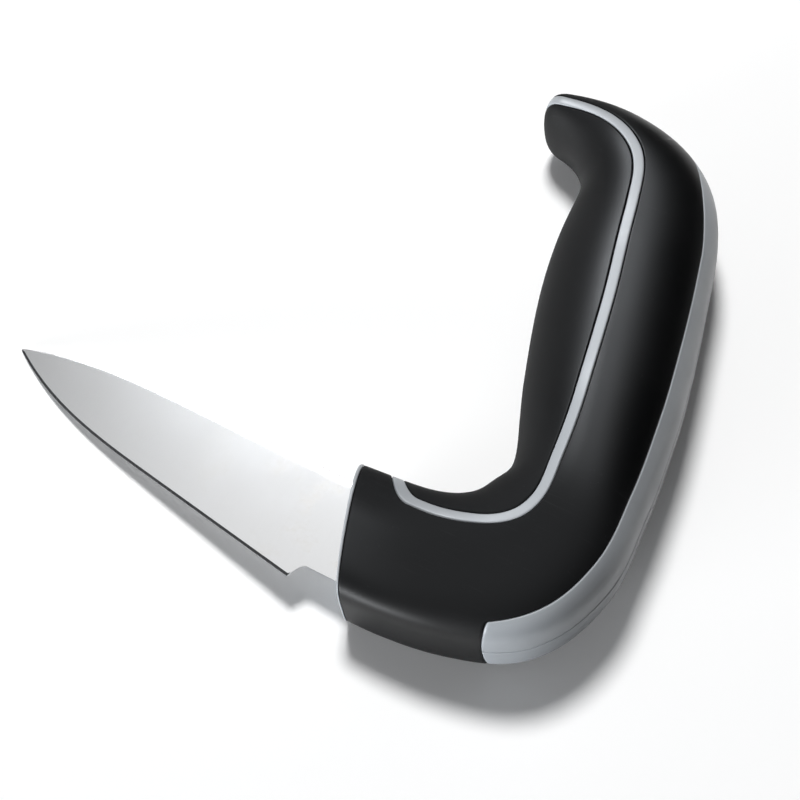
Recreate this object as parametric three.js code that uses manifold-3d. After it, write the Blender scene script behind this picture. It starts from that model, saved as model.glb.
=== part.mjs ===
// Paring knife with an angled pistol grip, lying on its right side as on a table.
// Millimetres, +Z up. The pieces are modelled in the knife's own frame: x runs from the
// blade's tip toward the handle, y toward the top of the grip and z toward the knife's
// left side, with z = 0 as its plane of symmetry. A last group lays the knife down.
import * as THREE from 'three';
import { mergeVertices } from 'three/addons/utils/BufferGeometryUtils.js';
import Module from 'manifold-3d';

const wasm = await Module();
wasm.setup();

// Fits and walls
const SEAT_GAP = 0.3;
const PARTING_GAP = 0.3;
const SKIN = 2.4;
const CORE_WALL = 2.6;
const SINK = 0.9;
const CUT_OVER = 2;

// Path of the handle's middle line, steered by two bends
const PATH_HEIGHT = 0.9;
const PATH_HEADING = THREE.MathUtils.degToRad(5.4);
const ELBOW_START = 7;
const ELBOW_LENGTH = 75.5;
const ELBOW_TURN = THREE.MathUtils.degToRad(101.5);
const CROWN_START = 133.5;
const CROWN_LENGTH = 54.5;
const CROWN_TURN = THREE.MathUtils.degToRad(78.5);
const HANDLE_LENGTH = 188;
const END_ROUND = 6;
const END_SQUARE = 3;
const PATH_STEP = 0.5;

// Handle sections, each a step along the path from the one before: half depths on the
// finger side and on the back, and half width
const COLLAR_STEP = -10;
const COLLAR_INNER = 18.8;
const COLLAR_OUTER = 15.4;
const COLLAR_HALF = 10.7;
const FORE_STEP = 26;
const FORE_INNER = 18.4;
const FORE_OUTER = 16.9;
const FORE_HALF = 11.5;
const CHIN_STEP = 12;
const CHIN_INNER = 18.6;
const CHIN_OUTER = 18.9;
const CHIN_HALF = 12.1;
const BEND_STEP = 12;
const BEND_INNER = 18.9;
const BEND_OUTER = 22.4;
const BEND_HALF = 12.8;
const RISE_STEP = 13;
const RISE_INNER = 19;
const RISE_OUTER = 20;
const RISE_HALF = 13.9;
const WAIST_STEP = 13;
const WAIST_INNER = 17.5;
const WAIST_OUTER = 16.8;
const WAIST_HALF = 15;
const PALM_STEP = 28;
const PALM_INNER = 20.5;
const PALM_OUTER = 19.1;
const PALM_HALF = 16;
const SWELL_STEP = 28;
const SWELL_INNER = 21.5;
const SWELL_OUTER = 19.6;
const SWELL_HALF = 16;
const SHOULDER_STEP = 24;
const SHOULDER_INNER = 18.6;
const SHOULDER_OUTER = 18.4;
const SHOULDER_HALF = 15;
const NECK_STEP = 20;
const NECK_INNER = 12.4;
const NECK_OUTER = 10.5;
const NECK_HALF = 13.3;
const HOOK_STEP = 16;
const HOOK_INNER = 6.1;
const HOOK_OUTER = 6.1;
const HOOK_HALF = 12;
const BEAK_STEP = 14;
const BEAK_INNER = 2.9;
const BEAK_OUTER = 3.2;
const BEAK_HALF = 11;

// How square each section is on the finger side and on the back (2 is an ellipse)
const SECTIONS = stationsOf([
  section(COLLAR_STEP, COLLAR_INNER, COLLAR_OUTER, COLLAR_HALF, 3.2, 5.2),
  section(FORE_STEP, FORE_INNER, FORE_OUTER, FORE_HALF, 3, 5.2),
  section(CHIN_STEP, CHIN_INNER, CHIN_OUTER, CHIN_HALF, 2.7, 5),
  section(BEND_STEP, BEND_INNER, BEND_OUTER, BEND_HALF, 2.4, 4.4),
  section(RISE_STEP, RISE_INNER, RISE_OUTER, RISE_HALF, 2.3, 3.5),
  section(WAIST_STEP, WAIST_INNER, WAIST_OUTER, WAIST_HALF, 2.2, 3),
  section(PALM_STEP, PALM_INNER, PALM_OUTER, PALM_HALF, 2.1, 2.8),
  section(SWELL_STEP, SWELL_INNER, SWELL_OUTER, SWELL_HALF, 2.1, 2.8),
  section(SHOULDER_STEP, SHOULDER_INNER, SHOULDER_OUTER, SHOULDER_HALF, 2.1, 2.7),
  section(NECK_STEP, NECK_INNER, NECK_OUTER, NECK_HALF, 2.1, 2.5),
  section(HOOK_STEP, HOOK_INNER, HOOK_OUTER, HOOK_HALF, 2.2, 2.4),
  section(BEAK_STEP, BEAK_INNER, BEAK_OUTER, BEAK_HALF, 2.2, 2.3),
]);

// Front face of the handle: leaning, slightly domed, with a thin flange
const FRONT_AT = 3.3;
const FRONT_LEAN = Math.tan(THREE.MathUtils.degToRad(16.4));
const FRONT_DOME = 0.6;
const FRONT_FADE = 32;
const FLANGE = 0.5;

// Light loop around the finger pad: the angle of its middle line from the finger side
const LOOP_WIDTH = 2.7;
const LOOP_START = 11;
const LOOP_ROUND = 6;
const LOOP_FORE_STEP = 9;
const LOOP_RISE_STEP = 14;
const LOOP_BEND_STEP = 13;
const LOOP_ELBOW_STEP = 7;
const LOOP_WAIST_STEP = 14;
const LOOP_PALM_STEP = 18;
const LOOP_SWELL_STEP = 26;
const LOOP_SHOULDER_STEP = 30;
const LOOP_CROWN_STEP = 16;
const LOOP_NECK_STEP = 12;
const LOOP_HOOK_STEP = 18;
const LOOP = stationsOf([
  { step: LOOP_START, angle: 41.5 },
  { step: LOOP_FORE_STEP, angle: 44 },
  { step: LOOP_RISE_STEP, angle: 54.2 },
  { step: LOOP_BEND_STEP, angle: 69.2 },
  { step: LOOP_ELBOW_STEP, angle: 72 },
  { step: LOOP_WAIST_STEP, angle: 69.3 },
  { step: LOOP_PALM_STEP, angle: 73.9 },
  { step: LOOP_SWELL_STEP, angle: 80 },
  { step: LOOP_SHOULDER_STEP, angle: 82.4 },
  { step: LOOP_CROWN_STEP, angle: 92.2 },
  { step: LOOP_NECK_STEP, angle: 94 },
  { step: LOOP_HOOK_STEP, angle: 89 },
]);

// Light band on the back: its half angle from the middle of the back
const BAND_START = 33.6;
const BAND_END = 158;
const BAND_ROUND = 1.7;
const BAND_FOOT_AT = 32;
const BAND_BEND_STEP = 12;
const BAND_RISE_STEP = 9;
const BAND_WAIST_STEP = 13;
const BAND_PALM_STEP = 24;
const BAND_SWELL_STEP = 40;
const BAND_NECK_STEP = 28;
const BAND = stationsOf([
  { step: BAND_FOOT_AT, angle: 30.5 },
  { step: BAND_BEND_STEP, angle: 30.8 },
  { step: BAND_RISE_STEP, angle: 34.6 },
  { step: BAND_WAIST_STEP, angle: 40.4 },
  { step: BAND_PALM_STEP, angle: 36.4 },
  { step: BAND_SWELL_STEP, angle: 32.3 },
  { step: BAND_NECK_STEP, angle: 38 },
]);

// Chambers inside the grip, between cross ribs
const CHAMBER_START = 64;
const CHAMBER_END = 150;
const CHAMBERS = 4;
const CROSS_RIB = 2.2;

// Blade outline: straight spine and edge that curve together into the tip
const BLADE_REACH = 99;
const TIP_RISE = 8.9;
const SPINE_HEIGHT = 15.1;
const CURVE_LENGTH = 50;
const SPINE_POWER = 2.8;
const EDGE_POWER = 3.2;
const HEEL_AT = 6.2;
const HEEL_DEPTH = 13;
const EDGE_SLOPE = 0.154;
const NOTCH_LENGTH = 2.9;
const RICASSO_DEPTH = 8.8;
const TIP_BLUNT = 0.5;

// Blade thickness: flat cheeks that thin toward the edge and toward the tip
const SPINE_HALF = 0.8;
const CHEEK_TAPER = 0.0185;
const TIP_TAPER = 0.0044;
const BEVEL = 1;
const EDGE_HALF = 0.06;

// Tang and its pins
const TANG_SHOULDER = 16;
const TANG_SLOPE = 2;
const TANG_END = 44;
const TANG_TOP = 9.5;
const TANG_BOTTOM = -1.5;
const STOCK_AT = 9;
const STOCK_BLEND = 2;
const SLOT_OVERRUN = 25;
const PIN_PLACES = [23.5, 36.5];
const PIN_RADIUS = 2;
const PIN_HALF_LENGTH = 7.5;
const PIN_SIDES = 24;

// Facets
const RING_POINTS = 32;
const CORE_POINTS = 24;
const ARC_POINTS = 12;
const BAND_POINTS = 6;
const CHAMBER_POINTS = 16;
const STEP_ALONG = 5.2;
const CORE_STEP = 4.7;
const CHAMBER_STEP = 11;
const END_STEPS = 4;
const ROUND_STEPS = 5;
const BAND_STEPS = 3;
const ROUND_LEAD = 0.3;
const CURVE_STEPS = 18;
const CURVE_CROWDING = 1.5;
const NOTCH_STEPS = 5;
const END_TURN = THREE.MathUtils.degToRad(80);
const LOOP_END_TURN = THREE.MathUtils.degToRad(76);
const END_SPARE = 1.4;
const STEM_SHARE = 0.09;
const PROBE_TURN = 0.01;
const PROBE_STEP = 0.05;
const NARROW = 0.08;

// Search for the plane that the knife rests on
const STEEPEST = 0.4;
const SEARCH_ROUNDS = 60;
const SAME_PLACE = 0.001;

function section(step, inner, outer, half, innerSquare, outerSquare) {
  return { step, inner, outer, half, innerSquare, outerSquare };
}

// Stations at the running sum of their steps
function stationsOf(rows) {
  let at = 0;
  return rows.map((row) => {
    at += row.step;
    return { ...row, at };
  });
}

function clamp(value, low, high) {
  return Math.min(high, Math.max(low, value));
}

function easedTurn(at, start, length) {
  const share = clamp((at - start) / length, 0, 1);
  return share * share * (3 - 2 * share);
}

function headingAt(at) {
  const elbow = ELBOW_TURN * easedTurn(at, ELBOW_START, ELBOW_LENGTH);
  const crown = CROWN_TURN * easedTurn(at, CROWN_START, CROWN_LENGTH);
  return PATH_HEADING + elbow + crown;
}

function makePath() {
  const points = [new THREE.Vector2(0, PATH_HEIGHT)];
  const count = Math.ceil((HANDLE_LENGTH + END_ROUND) / PATH_STEP);
  for (let i = 0; i < count; i += 1) {
    const heading = headingAt((i + 0.5) * PATH_STEP);
    const step = new THREE.Vector2(Math.cos(heading), Math.sin(heading)).multiplyScalar(PATH_STEP);
    points.push(points[i].clone().add(step));
  }
  return points;
}

const PATH = makePath();

// Point on the middle line; before its start the line runs on straight
function pathAt(at) {
  const place = clamp(at / PATH_STEP, 0, PATH.length - 1.001);
  const index = Math.floor(place);
  const point = PATH[index].clone().lerp(PATH[index + 1], place - index);
  const before = Math.min(at, 0);
  point.x += before * Math.cos(PATH_HEADING);
  point.y += before * Math.sin(PATH_HEADING);
  return point;
}

// Smooth value between stations, as a cubic through them
function stationValue(stations, key, at) {
  const last = stations.length - 1;
  let i = 0;
  while (i < last - 1 && at > stations[i + 1].at) i += 1;
  const a = stations[i];
  const b = stations[i + 1];
  const before = stations[Math.max(i - 1, 0)];
  const after = stations[Math.min(i + 2, last)];
  const span = b.at - a.at;
  const slopeA = (b[key] - before[key]) / (b.at - before.at);
  const slopeB = (after[key] - a[key]) / (after.at - a.at);
  const t = clamp((at - a.at) / span, 0, 1);
  const t2 = t * t;
  const t3 = t2 * t;
  const ends = (2 * t3 - 3 * t2 + 1) * a[key] + (3 * t2 - 2 * t3) * b[key];
  return ends + span * ((t3 - 2 * t2 + t) * slopeA + (t3 - t2) * slopeB);
}

// Section of the handle at one place, set in by a wall
function sectionAt(place, inset) {
  const value = (key) => stationValue(SECTIONS, key, place.at);
  return {
    inner: (value('inner') - inset) * place.shrink,
    outer: (value('outer') - inset) * place.shrink,
    half: (value('half') - inset) * place.shrink,
    innerSquare: value('innerSquare'),
    outerSquare: value('outerSquare'),
  };
}

function sectionRadius(section, angle) {
  const onFingerSide = Math.cos(angle) > 0;
  const depth = onFingerSide ? section.inner : section.outer;
  const power = onFingerSide ? section.innerSquare : section.outerSquare;
  const a = Math.abs(Math.cos(angle) / depth) ** power;
  const b = Math.abs(Math.sin(angle) / section.half) ** power;
  return (a + b) ** (-1 / power);
}

// An even turn and the angle it stands for: turns crowd points where the outline bends most
function angleOfTurn(section, turn) {
  const depth = Math.cos(turn) > 0 ? section.inner : section.outer;
  return Math.atan2(section.half * Math.sin(turn), depth * Math.cos(turn));
}

function turnOfAngle(section, angle) {
  const depth = Math.cos(angle) > 0 ? section.inner : section.outer;
  return Math.atan2(Math.sin(angle) / section.half, Math.cos(angle) / depth);
}

// Angle at which a section's outline reaches a depth toward the finger side
function angleAtDepth(section, depth) {
  const limit = depth > 0 ? section.inner : section.outer;
  const power = depth > 0 ? section.innerSquare : section.outerSquare;
  const share = clamp(Math.abs(depth) / limit, 0, 1);
  return Math.atan2(section.half * (1 - share ** power) ** (1 / power), depth);
}

// Point of the handle's skin: angle 0 is the finger side, a half turn is the back
function handlePoint(place, angle, inset) {
  const section = sectionAt(place, inset);
  const radius = sectionRadius(section, angle);
  const heading = headingAt(place.at);
  const middle = pathAt(place.at);
  const depth = -radius * Math.cos(angle);
  const fade = clamp(1 - (place.at - FRONT_AT) / FRONT_FADE, 0, 1.2);
  const limit = depth < 0 ? section.inner : section.outer;
  const dome = FRONT_DOME * (1 - (depth / limit) ** 2);
  const along = fade * fade * (depth * FRONT_LEAN - dome);
  const x = middle.x + depth * Math.sin(heading) + along * Math.cos(heading);
  const y = middle.y - depth * Math.cos(heading) + along * Math.sin(heading);
  return new THREE.Vector3(x, y, radius * Math.sin(angle));
}

// How far the skin runs around the section, for each radian at an angle
function skinReach(place, angle) {
  const near = handlePoint(place, angle - PROBE_TURN, 0);
  return near.distanceTo(handlePoint(place, angle + PROBE_TURN, 0)) / (2 * PROBE_TURN);
}

// How far the skin's finger side runs for each millimetre along the path
function skinStretch(at) {
  const near = handlePoint({ at: at - PROBE_STEP, shrink: 1 }, 0, 0);
  return near.distanceTo(handlePoint({ at: at + PROBE_STEP, shrink: 1 }, 0, 0)) / (2 * PROBE_STEP);
}

// Places along the handle from one station to another
function placesBetween(from, to, step) {
  const count = Math.max(2, Math.round((to - from) / step));
  return Array.from({ length: count + 1 }, (_, i) => ({ at: from + ((to - from) * i) / count, shrink: 1 }));
}

// Place over the blunt rounded end of the hook, at a turn of its rounding
function placeOverEnd(inset, turn) {
  const shrink = Math.cos(turn);
  const rise = (1 - shrink ** END_SQUARE) ** (1 / END_SQUARE);
  return { at: HANDLE_LENGTH - END_ROUND + (END_ROUND - inset) * rise, shrink };
}

function placesOverEnd(inset, endTurn) {
  return Array.from({ length: END_STEPS }, (_, i) => placeOverEnd(inset, (endTurn * (i + 1)) / END_STEPS));
}

// Closed solid through rings of points; the ends are closed by rungs across the ring
function loft(rings) {
  const size = rings[0].length;
  const vertices = rings.flat().flatMap((p) => [p.x, p.y, p.z]);
  const triangles = [];
  for (let r = 0; r + 1 < rings.length; r += 1) {
    for (let k = 0; k < size; k += 1) {
      const a = r * size + k;
      const b = r * size + ((k + 1) % size);
      triangles.push(a, b, b + size, a, b + size, a + size);
    }
  }
  const top = (rings.length - 1) * size;
  for (let k = 0; k + 1 < size / 2; k += 1) {
    const across = size - 1 - k;
    triangles.push(k, across, across - 1, k, across - 1, k + 1);
    triangles.push(top + k, top + across - 1, top + across, top + k, top + k + 1, top + across - 1);
  }
  const solid = toManifold(vertices, triangles);
  return solid.volume() > 0 ? solid : toManifold(vertices, triangles.reverse());
}

function toManifold(vertices, triangles) {
  const mesh = new wasm.Mesh({
    numProp: 3,
    vertProperties: Float32Array.from(vertices),
    triVerts: Uint32Array.from(triangles),
  });
  return new wasm.Manifold(mesh);
}

// Solid of one closed three.js geometry
function fromGeometry(geometry) {
  geometry.deleteAttribute('normal');
  geometry.deleteAttribute('uv');
  const merged = mergeVertices(geometry);
  return toManifold(merged.getAttribute('position').array, merged.getIndex().array);
}

function fullRing(place, inset, points) {
  const section = sectionAt(place, inset);
  return Array.from({ length: points }, (_, k) => {
    const turn = ((k + 0.5) * 2 * Math.PI) / points;
    return handlePoint(place, angleOfTurn(section, turn), inset);
  });
}

// Whole handle, set in by a wall
function handleSolid(from, inset, points, step) {
  const body = placesBetween(from, HANDLE_LENGTH - END_ROUND, step);
  const places = body.concat(placesOverEnd(inset, END_TURN));
  return loft(places.map((place) => fullRing(place, inset, points)));
}

// Ring of a patch of skin around a middle angle: its outer arc, then its inner arc back
function patchRing(outerPlace, innerPlace, middle, halfAngle, outset, inset, points) {
  const section = sectionAt(outerPlace, 0);
  const halfTurn = Math.abs(turnOfAngle(section, middle + halfAngle) - middle);
  const angles = Array.from({ length: points + 1 }, (_, k) => {
    return angleOfTurn(section, middle + halfTurn * ((2 * k) / points - 1));
  });
  const outerArc = angles.map((angle) => handlePoint(outerPlace, angle, outset));
  const innerArc = angles.map((angle) => handlePoint(innerPlace, angle, inset));
  return outerArc.concat(innerArc.reverse());
}

// How far a rounded end has opened at a distance from it
function roundedEnd(distance, length) {
  const share = clamp(distance / length, 0, 1);
  return Math.sqrt(1 - (1 - share) * (1 - share));
}

// Distances over a rounded end, as shares of its length, closer together at the end
function roundedShares(steps) {
  return Array.from({ length: steps }, (_, i) => {
    return 1 - Math.cos(((i + ROUND_LEAD) * Math.PI) / (2 * steps));
  });
}

// Finger pad inside the light loop, grown by a margin, between two depths of skin
function padPatch(margin, outset, inset) {
  const start = LOOP_START - margin / skinStretch(LOOP_START);
  const endPlace = { at: HANDLE_LENGTH - END_ROUND, shrink: 1 };
  const endSection = sectionAt(endPlace, 0);
  const loopAngle = (place) => THREE.MathUtils.degToRad(stationValue(LOOP, 'angle', place.at));
  const endDepth = endSection.half * Math.cos(loopAngle(endPlace)) - margin;
  const endTurn = Math.min(LOOP_END_TURN, Math.acos(clamp((END_SPARE * endDepth) / endSection.inner, 0, 1)));
  const halfAngle = (place) => {
    const section = sectionAt(place, 0);
    if (place.shrink < 1) return Math.min(angleAtDepth(section, endDepth), Math.PI - NARROW);
    const grown = loopAngle(place) + margin / skinReach(place, loopAngle(place));
    return Math.max(NARROW, grown * roundedEnd(place.at - start, LOOP_ROUND));
  };
  const opening = roundedShares(ROUND_STEPS).map((share) => ({ at: start + LOOP_ROUND * share, shrink: 1 }));
  const body = placesBetween(start + LOOP_ROUND, HANDLE_LENGTH - END_ROUND, STEP_ALONG);
  const straight = opening.concat(body);
  const places = (depth) => straight.concat(placesOverEnd(depth, endTurn));
  const surface = places(0);
  const outer = places(outset);
  const inner = places(inset);
  const rings = surface.map((place, i) => {
    return patchRing(outer[i], inner[i], 0, halfAngle(place), outset, inset, ARC_POINTS);
  });
  return loft(rings);
}

// Where the light loop crosses the hook's end: a small plug flaring out to the surface
function nosePlug(room, outset) {
  const from = HANDLE_LENGTH - END_ROUND;
  const depth = sectionAt({ at: from, shrink: 1 }, 0).inner;
  const turns = [Math.acos(clamp((LOOP_WIDTH / 2 + room) / depth, 0, 1)), END_TURN];
  const places = turns.map((turn) => placeOverEnd(outset, turn));
  const stem = { at: from, shrink: STEM_SHARE };
  return loft([stem, ...places].map((place) => fullRing(place, outset, CORE_POINTS)));
}

// Band on the back, grown by a margin, between two depths of skin
function bandPatch(margin, outset, inset) {
  const start = BAND_START - margin;
  const end = BAND_END + margin;
  const radiusAt = (place) => sectionRadius(sectionAt(place, 0), Math.PI);
  const halfAngle = (place) => {
    const band = THREE.MathUtils.degToRad(stationValue(BAND, 'angle', place.at));
    const opened = roundedEnd(Math.min(place.at - start, end - place.at), BAND_ROUND);
    return Math.max(NARROW, (band + margin / radiusAt(place)) * opened);
  };
  const opening = roundedShares(BAND_STEPS).map((share) => ({ at: start + BAND_ROUND * share, shrink: 1 }));
  const closing = roundedShares(BAND_STEPS).map((share) => ({ at: end - BAND_ROUND * share, shrink: 1 })).reverse();
  const body = placesBetween(start + BAND_ROUND, end - BAND_ROUND, STEP_ALONG);
  const places = opening.concat(body, closing);
  const rings = places.map((place) => {
    return patchRing(place, place, Math.PI, -halfAngle(place), outset, inset, BAND_POINTS);
  });
  return loft(rings);
}

// Thin plate that closes the handle's front, flush with the soft covering
function flangeSolid() {
  const places = placesBetween(FRONT_AT, FRONT_AT + FLANGE, FLANGE);
  return loft(places.map((place) => fullRing(place, 0, RING_POINTS)));
}

// Hollows of the grip, one after another with a cross rib between them
function chamberSolids() {
  const pitch = (CHAMBER_END - CHAMBER_START) / CHAMBERS;
  const inset = SKIN + SEAT_GAP + CORE_WALL;
  return Array.from({ length: CHAMBERS }, (_, i) => {
    const from = CHAMBER_START + i * pitch + CROSS_RIB / 2;
    const to = CHAMBER_START + (i + 1) * pitch - CROSS_RIB / 2;
    return loft(placesBetween(from, to, CHAMBER_STEP).map((place) => fullRing(place, inset, CHAMBER_POINTS)));
  });
}

function boxSolid(size, centre) {
  const geometry = new THREE.BoxGeometry(size.x, size.y, size.z);
  geometry.translate(centre.x, centre.y, centre.z);
  return fromGeometry(geometry);
}

function pinSolid(x, radius, halfLength) {
  const geometry = new THREE.CylinderGeometry(radius, radius, 2 * halfLength, PIN_SIDES);
  geometry.rotateX(Math.PI / 2);
  geometry.translate(x, (TANG_TOP + TANG_BOTTOM) / 2, 0);
  return fromGeometry(geometry);
}

// Height of the spine and of the edge over the blade's length, with x below zero
function spineAt(x) {
  const curved = clamp((-x - (BLADE_REACH - CURVE_LENGTH)) / CURVE_LENGTH, 0, 1);
  return SPINE_HEIGHT - (SPINE_HEIGHT - TIP_RISE - TIP_BLUNT / 2) * curved ** SPINE_POWER;
}

function edgeAt(x) {
  const straight = (from) => EDGE_SLOPE * (from - HEEL_AT) - HEEL_DEPTH;
  const curved = clamp((-x - (BLADE_REACH - CURVE_LENGTH)) / CURVE_LENGTH, 0, 1);
  const belly = TIP_RISE - TIP_BLUNT / 2 - straight(BLADE_REACH);
  return straight(-x) + belly * curved ** EDGE_POWER;
}

// Half thickness of the flat cheek
function cheekAt(x, y) {
  return SPINE_HALF + CHEEK_TAPER * (y - SPINE_HEIGHT) + TIP_TAPER * Math.min(x, 0);
}

// Ring across the blade: spine, cheeks, bevel and edge
function bladeRing(x, top, bottom, edgeHalf) {
  const shoulder = Math.min(bottom + BEVEL, (top + bottom) / 2);
  const topHalf = cheekAt(x, top);
  const shoulderHalf = cheekAt(x, shoulder);
  const half = edgeHalf ?? cheekAt(x, bottom);
  return [
    new THREE.Vector3(x, top, topHalf),
    new THREE.Vector3(x, shoulder, shoulderHalf),
    new THREE.Vector3(x, bottom, half),
    new THREE.Vector3(x, bottom, -half),
    new THREE.Vector3(x, shoulder, -shoulderHalf),
    new THREE.Vector3(x, top, -topHalf),
  ];
}

// Ring across the tang, with room around it when it shapes the slot
function tangRing(x, top, bottom, room) {
  const half = SPINE_HALF + room;
  const high = top + room;
  const low = bottom - room;
  const middle = (high + low) / 2;
  return [
    new THREE.Vector3(x, high, half),
    new THREE.Vector3(x, middle, half),
    new THREE.Vector3(x, low, half),
    new THREE.Vector3(x, low, -half),
    new THREE.Vector3(x, middle, -half),
    new THREE.Vector3(x, high, -half),
  ];
}

// Ricasso at full stock, the sloped shoulder and the tang
function tangRings(from, room) {
  return [
    tangRing(from, SPINE_HEIGHT, -RICASSO_DEPTH, room),
    tangRing(TANG_SHOULDER + room, SPINE_HEIGHT, -RICASSO_DEPTH, room),
    tangRing(TANG_SHOULDER + TANG_SLOPE + room, TANG_TOP, TANG_BOTTOM, room),
    tangRing(TANG_END + room, TANG_TOP, TANG_BOTTOM, room),
  ];
}

function bladeSolid() {
  const rings = [];
  for (let i = 0; i <= CURVE_STEPS; i += 1) {
    const x = CURVE_LENGTH * (i / CURVE_STEPS) ** CURVE_CROWDING - BLADE_REACH;
    rings.push(bladeRing(x, spineAt(x), edgeAt(x), EDGE_HALF));
  }
  rings.push(bladeRing(-HEEL_AT, spineAt(-HEEL_AT), edgeAt(-HEEL_AT), EDGE_HALF));
  for (let i = 1; i <= NOTCH_STEPS; i += 1) {
    const x = NOTCH_LENGTH * (i / NOTCH_STEPS) - HEEL_AT;
    const rise = (HEEL_DEPTH - RICASSO_DEPTH) * Math.sin((i * Math.PI) / (2 * NOTCH_STEPS));
    rings.push(bladeRing(x, SPINE_HEIGHT, rise - HEEL_DEPTH));
  }
  rings.push(bladeRing(STOCK_AT, SPINE_HEIGHT, -RICASSO_DEPTH));
  const solid = loft(rings.concat(tangRings(STOCK_AT + STOCK_BLEND, 0)));
  const hole = (x) => pinSolid(x, PIN_RADIUS + SEAT_GAP, PIN_HALF_LENGTH);
  return PIN_PLACES.reduce((part, x) => part.subtract(hole(x)), solid);
}

// Hard core, whole: inner body, light loop, back band and front flange, hollowed
function coreSolid() {
  const bed = SKIN + SEAT_GAP + SINK;
  const loopOuter = padPatch(LOOP_WIDTH / 2, 0, bed);
  const loopInner = padPatch(-LOOP_WIDTH / 2, -CUT_OVER, bed + SINK);
  const loop = loopOuter.subtract(loopInner);
  const inner = handleSolid(FRONT_AT + FLANGE / 2, SKIN + SEAT_GAP, CORE_POINTS, CORE_STEP);
  const dressed = inner.add(loop).add(nosePlug(0, 0));
  const body = dressed.add(bandPatch(0, 0, bed)).add(flangeSolid());
  const hollowed = chamberSolids().reduce((part, chamber) => part.subtract(chamber), body);
  const slotted = hollowed.subtract(loft(tangRings(-SLOT_OVERRUN, SEAT_GAP)));
  const hole = (x) => pinSolid(x, PIN_RADIUS + SEAT_GAP, PIN_HALF_LENGTH + SEAT_GAP);
  return PIN_PLACES.reduce((part, x) => part.subtract(hole(x)), slotted);
}

// One half of the core, kept clear of the parting plane
function coreHalf(core, side) {
  const span = 4 * HANDLE_LENGTH;
  const centre = new THREE.Vector3(0, 0, side * (span / 2 + PARTING_GAP / 2));
  return core.intersect(boxSolid(new THREE.Vector3(span, span, span), centre));
}

function bodyGripSolid() {
  const from = FRONT_AT + FLANGE + SEAT_GAP;
  const outside = handleSolid(from, 0, RING_POINTS, STEP_ALONG);
  const inside = handleSolid(from - CUT_OVER, SKIN, CORE_POINTS, CORE_STEP);
  const under = SKIN + SINK;
  const shell = outside.subtract(inside);
  const opened = shell.subtract(padPatch(LOOP_WIDTH / 2 + SEAT_GAP, -CUT_OVER, under));
  const tipped = opened.subtract(nosePlug(SEAT_GAP, -CUT_OVER));
  return tipped.subtract(bandPatch(SEAT_GAP, -CUT_OVER, under));
}

function fingerGripSolid() {
  return padPatch(-LOOP_WIDTH / 2 - SEAT_GAP, 0, SKIN);
}

const steel = { color: 0xc8cbce, roughness: 0.28, metalness: 1 };
const pinSteel = { color: 0x9fa3a6, roughness: 0.4, metalness: 1 };
const hardPlastic = { color: 0xb9c0c6, roughness: 0.45, metalness: 0 };
const softRubber = { color: 0x222326, roughness: 0.6, metalness: 0 };

function piece(name, solid, finish) {
  const mesh = solid.getMesh();
  const geometry = new THREE.BufferGeometry();
  geometry.setAttribute('position', new THREE.BufferAttribute(Float32Array.from(mesh.vertProperties), 3));
  geometry.setIndex(new THREE.BufferAttribute(Uint32Array.from(mesh.triVerts), 1));
  geometry.computeVertexNormals();
  const result = new THREE.Mesh(geometry, new THREE.MeshStandardMaterial(finish));
  result.name = name;
  return result;
}

function pointsOf(mesh) {
  const position = mesh.geometry.getAttribute('position');
  const pointAt = (_, i) => new THREE.Vector3().fromBufferAttribute(position, i);
  return Array.from({ length: position.count }, pointAt);
}

// Slopes of the plane that the knife rests on: the tip and two points of the handle
function restingSlopes(tip, points) {
  const middle = new THREE.Vector3();
  points.forEach((point) => middle.addScaledVector(point, 1 / points.length));
  const alongFor = (across) => {
    const slopes = points.map((p) => (p.z - tip.z - across * (p.y - tip.y)) / (p.x - tip.x));
    return Math.min(...slopes);
  };
  const heightFor = (across) => alongFor(across) * (middle.x - tip.x) + across * (middle.y - tip.y);
  let low = -STEEPEST;
  let high = STEEPEST;
  for (let i = 0; i < SEARCH_ROUNDS; i += 1) {
    const third = (high - low) / 3;
    if (heightFor(low + third) < heightFor(high - third)) low += third;
    else high -= third;
  }
  const across = (low + high) / 2;
  return { along: alongFor(across), across };
}

// Turn that lays the resting plane level, with x still along the blade
function layingTurn(slopes) {
  const up = new THREE.Vector3(-slopes.along, -slopes.across, 1).normalize();
  const alongBlade = new THREE.Vector3(1, 0, slopes.along).normalize();
  const side = new THREE.Vector3().crossVectors(up, alongBlade);
  return new THREE.Matrix4().makeBasis(alongBlade, side, up).transpose();
}

const core = coreSolid();
const blade = piece('blade', bladeSolid(), steel);
const handlePieces = [
  piece('core_left_shell', coreHalf(core, 1), hardPlastic),
  piece('core_right_shell', coreHalf(core, -1), hardPlastic),
  piece('body_grip', bodyGripSolid(), softRubber),
  piece('finger_grip', fingerGripSolid(), softRubber),
];
const pinNames = ['tang_pin_front', 'tang_pin_rear'];
const pins = PIN_PLACES.map((x, i) => piece(pinNames[i], pinSolid(x, PIN_RADIUS, PIN_HALF_LENGTH), pinSteel));

const tip = pointsOf(blade).reduce((best, p) => {
  const further = p.x < best.x - SAME_PLACE;
  const lower = p.x < best.x + SAME_PLACE && p.z < best.z;
  return further || lower ? p : best;
});
const turn = layingTurn(restingSlopes(tip, handlePieces.flatMap(pointsOf)));
const knife = new THREE.Group();
knife.add(blade, ...handlePieces, ...pins);
knife.setRotationFromMatrix(turn);
const bounds = new THREE.Box3();
knife.children.flatMap(pointsOf).forEach((p) => bounds.expandByPoint(p.applyMatrix4(turn)));
const centre = bounds.getCenter(new THREE.Vector3());
knife.position.set(-centre.x, -centre.y, -bounds.min.z);

const object = new THREE.Group();
object.add(knife);

export default object;
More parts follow.
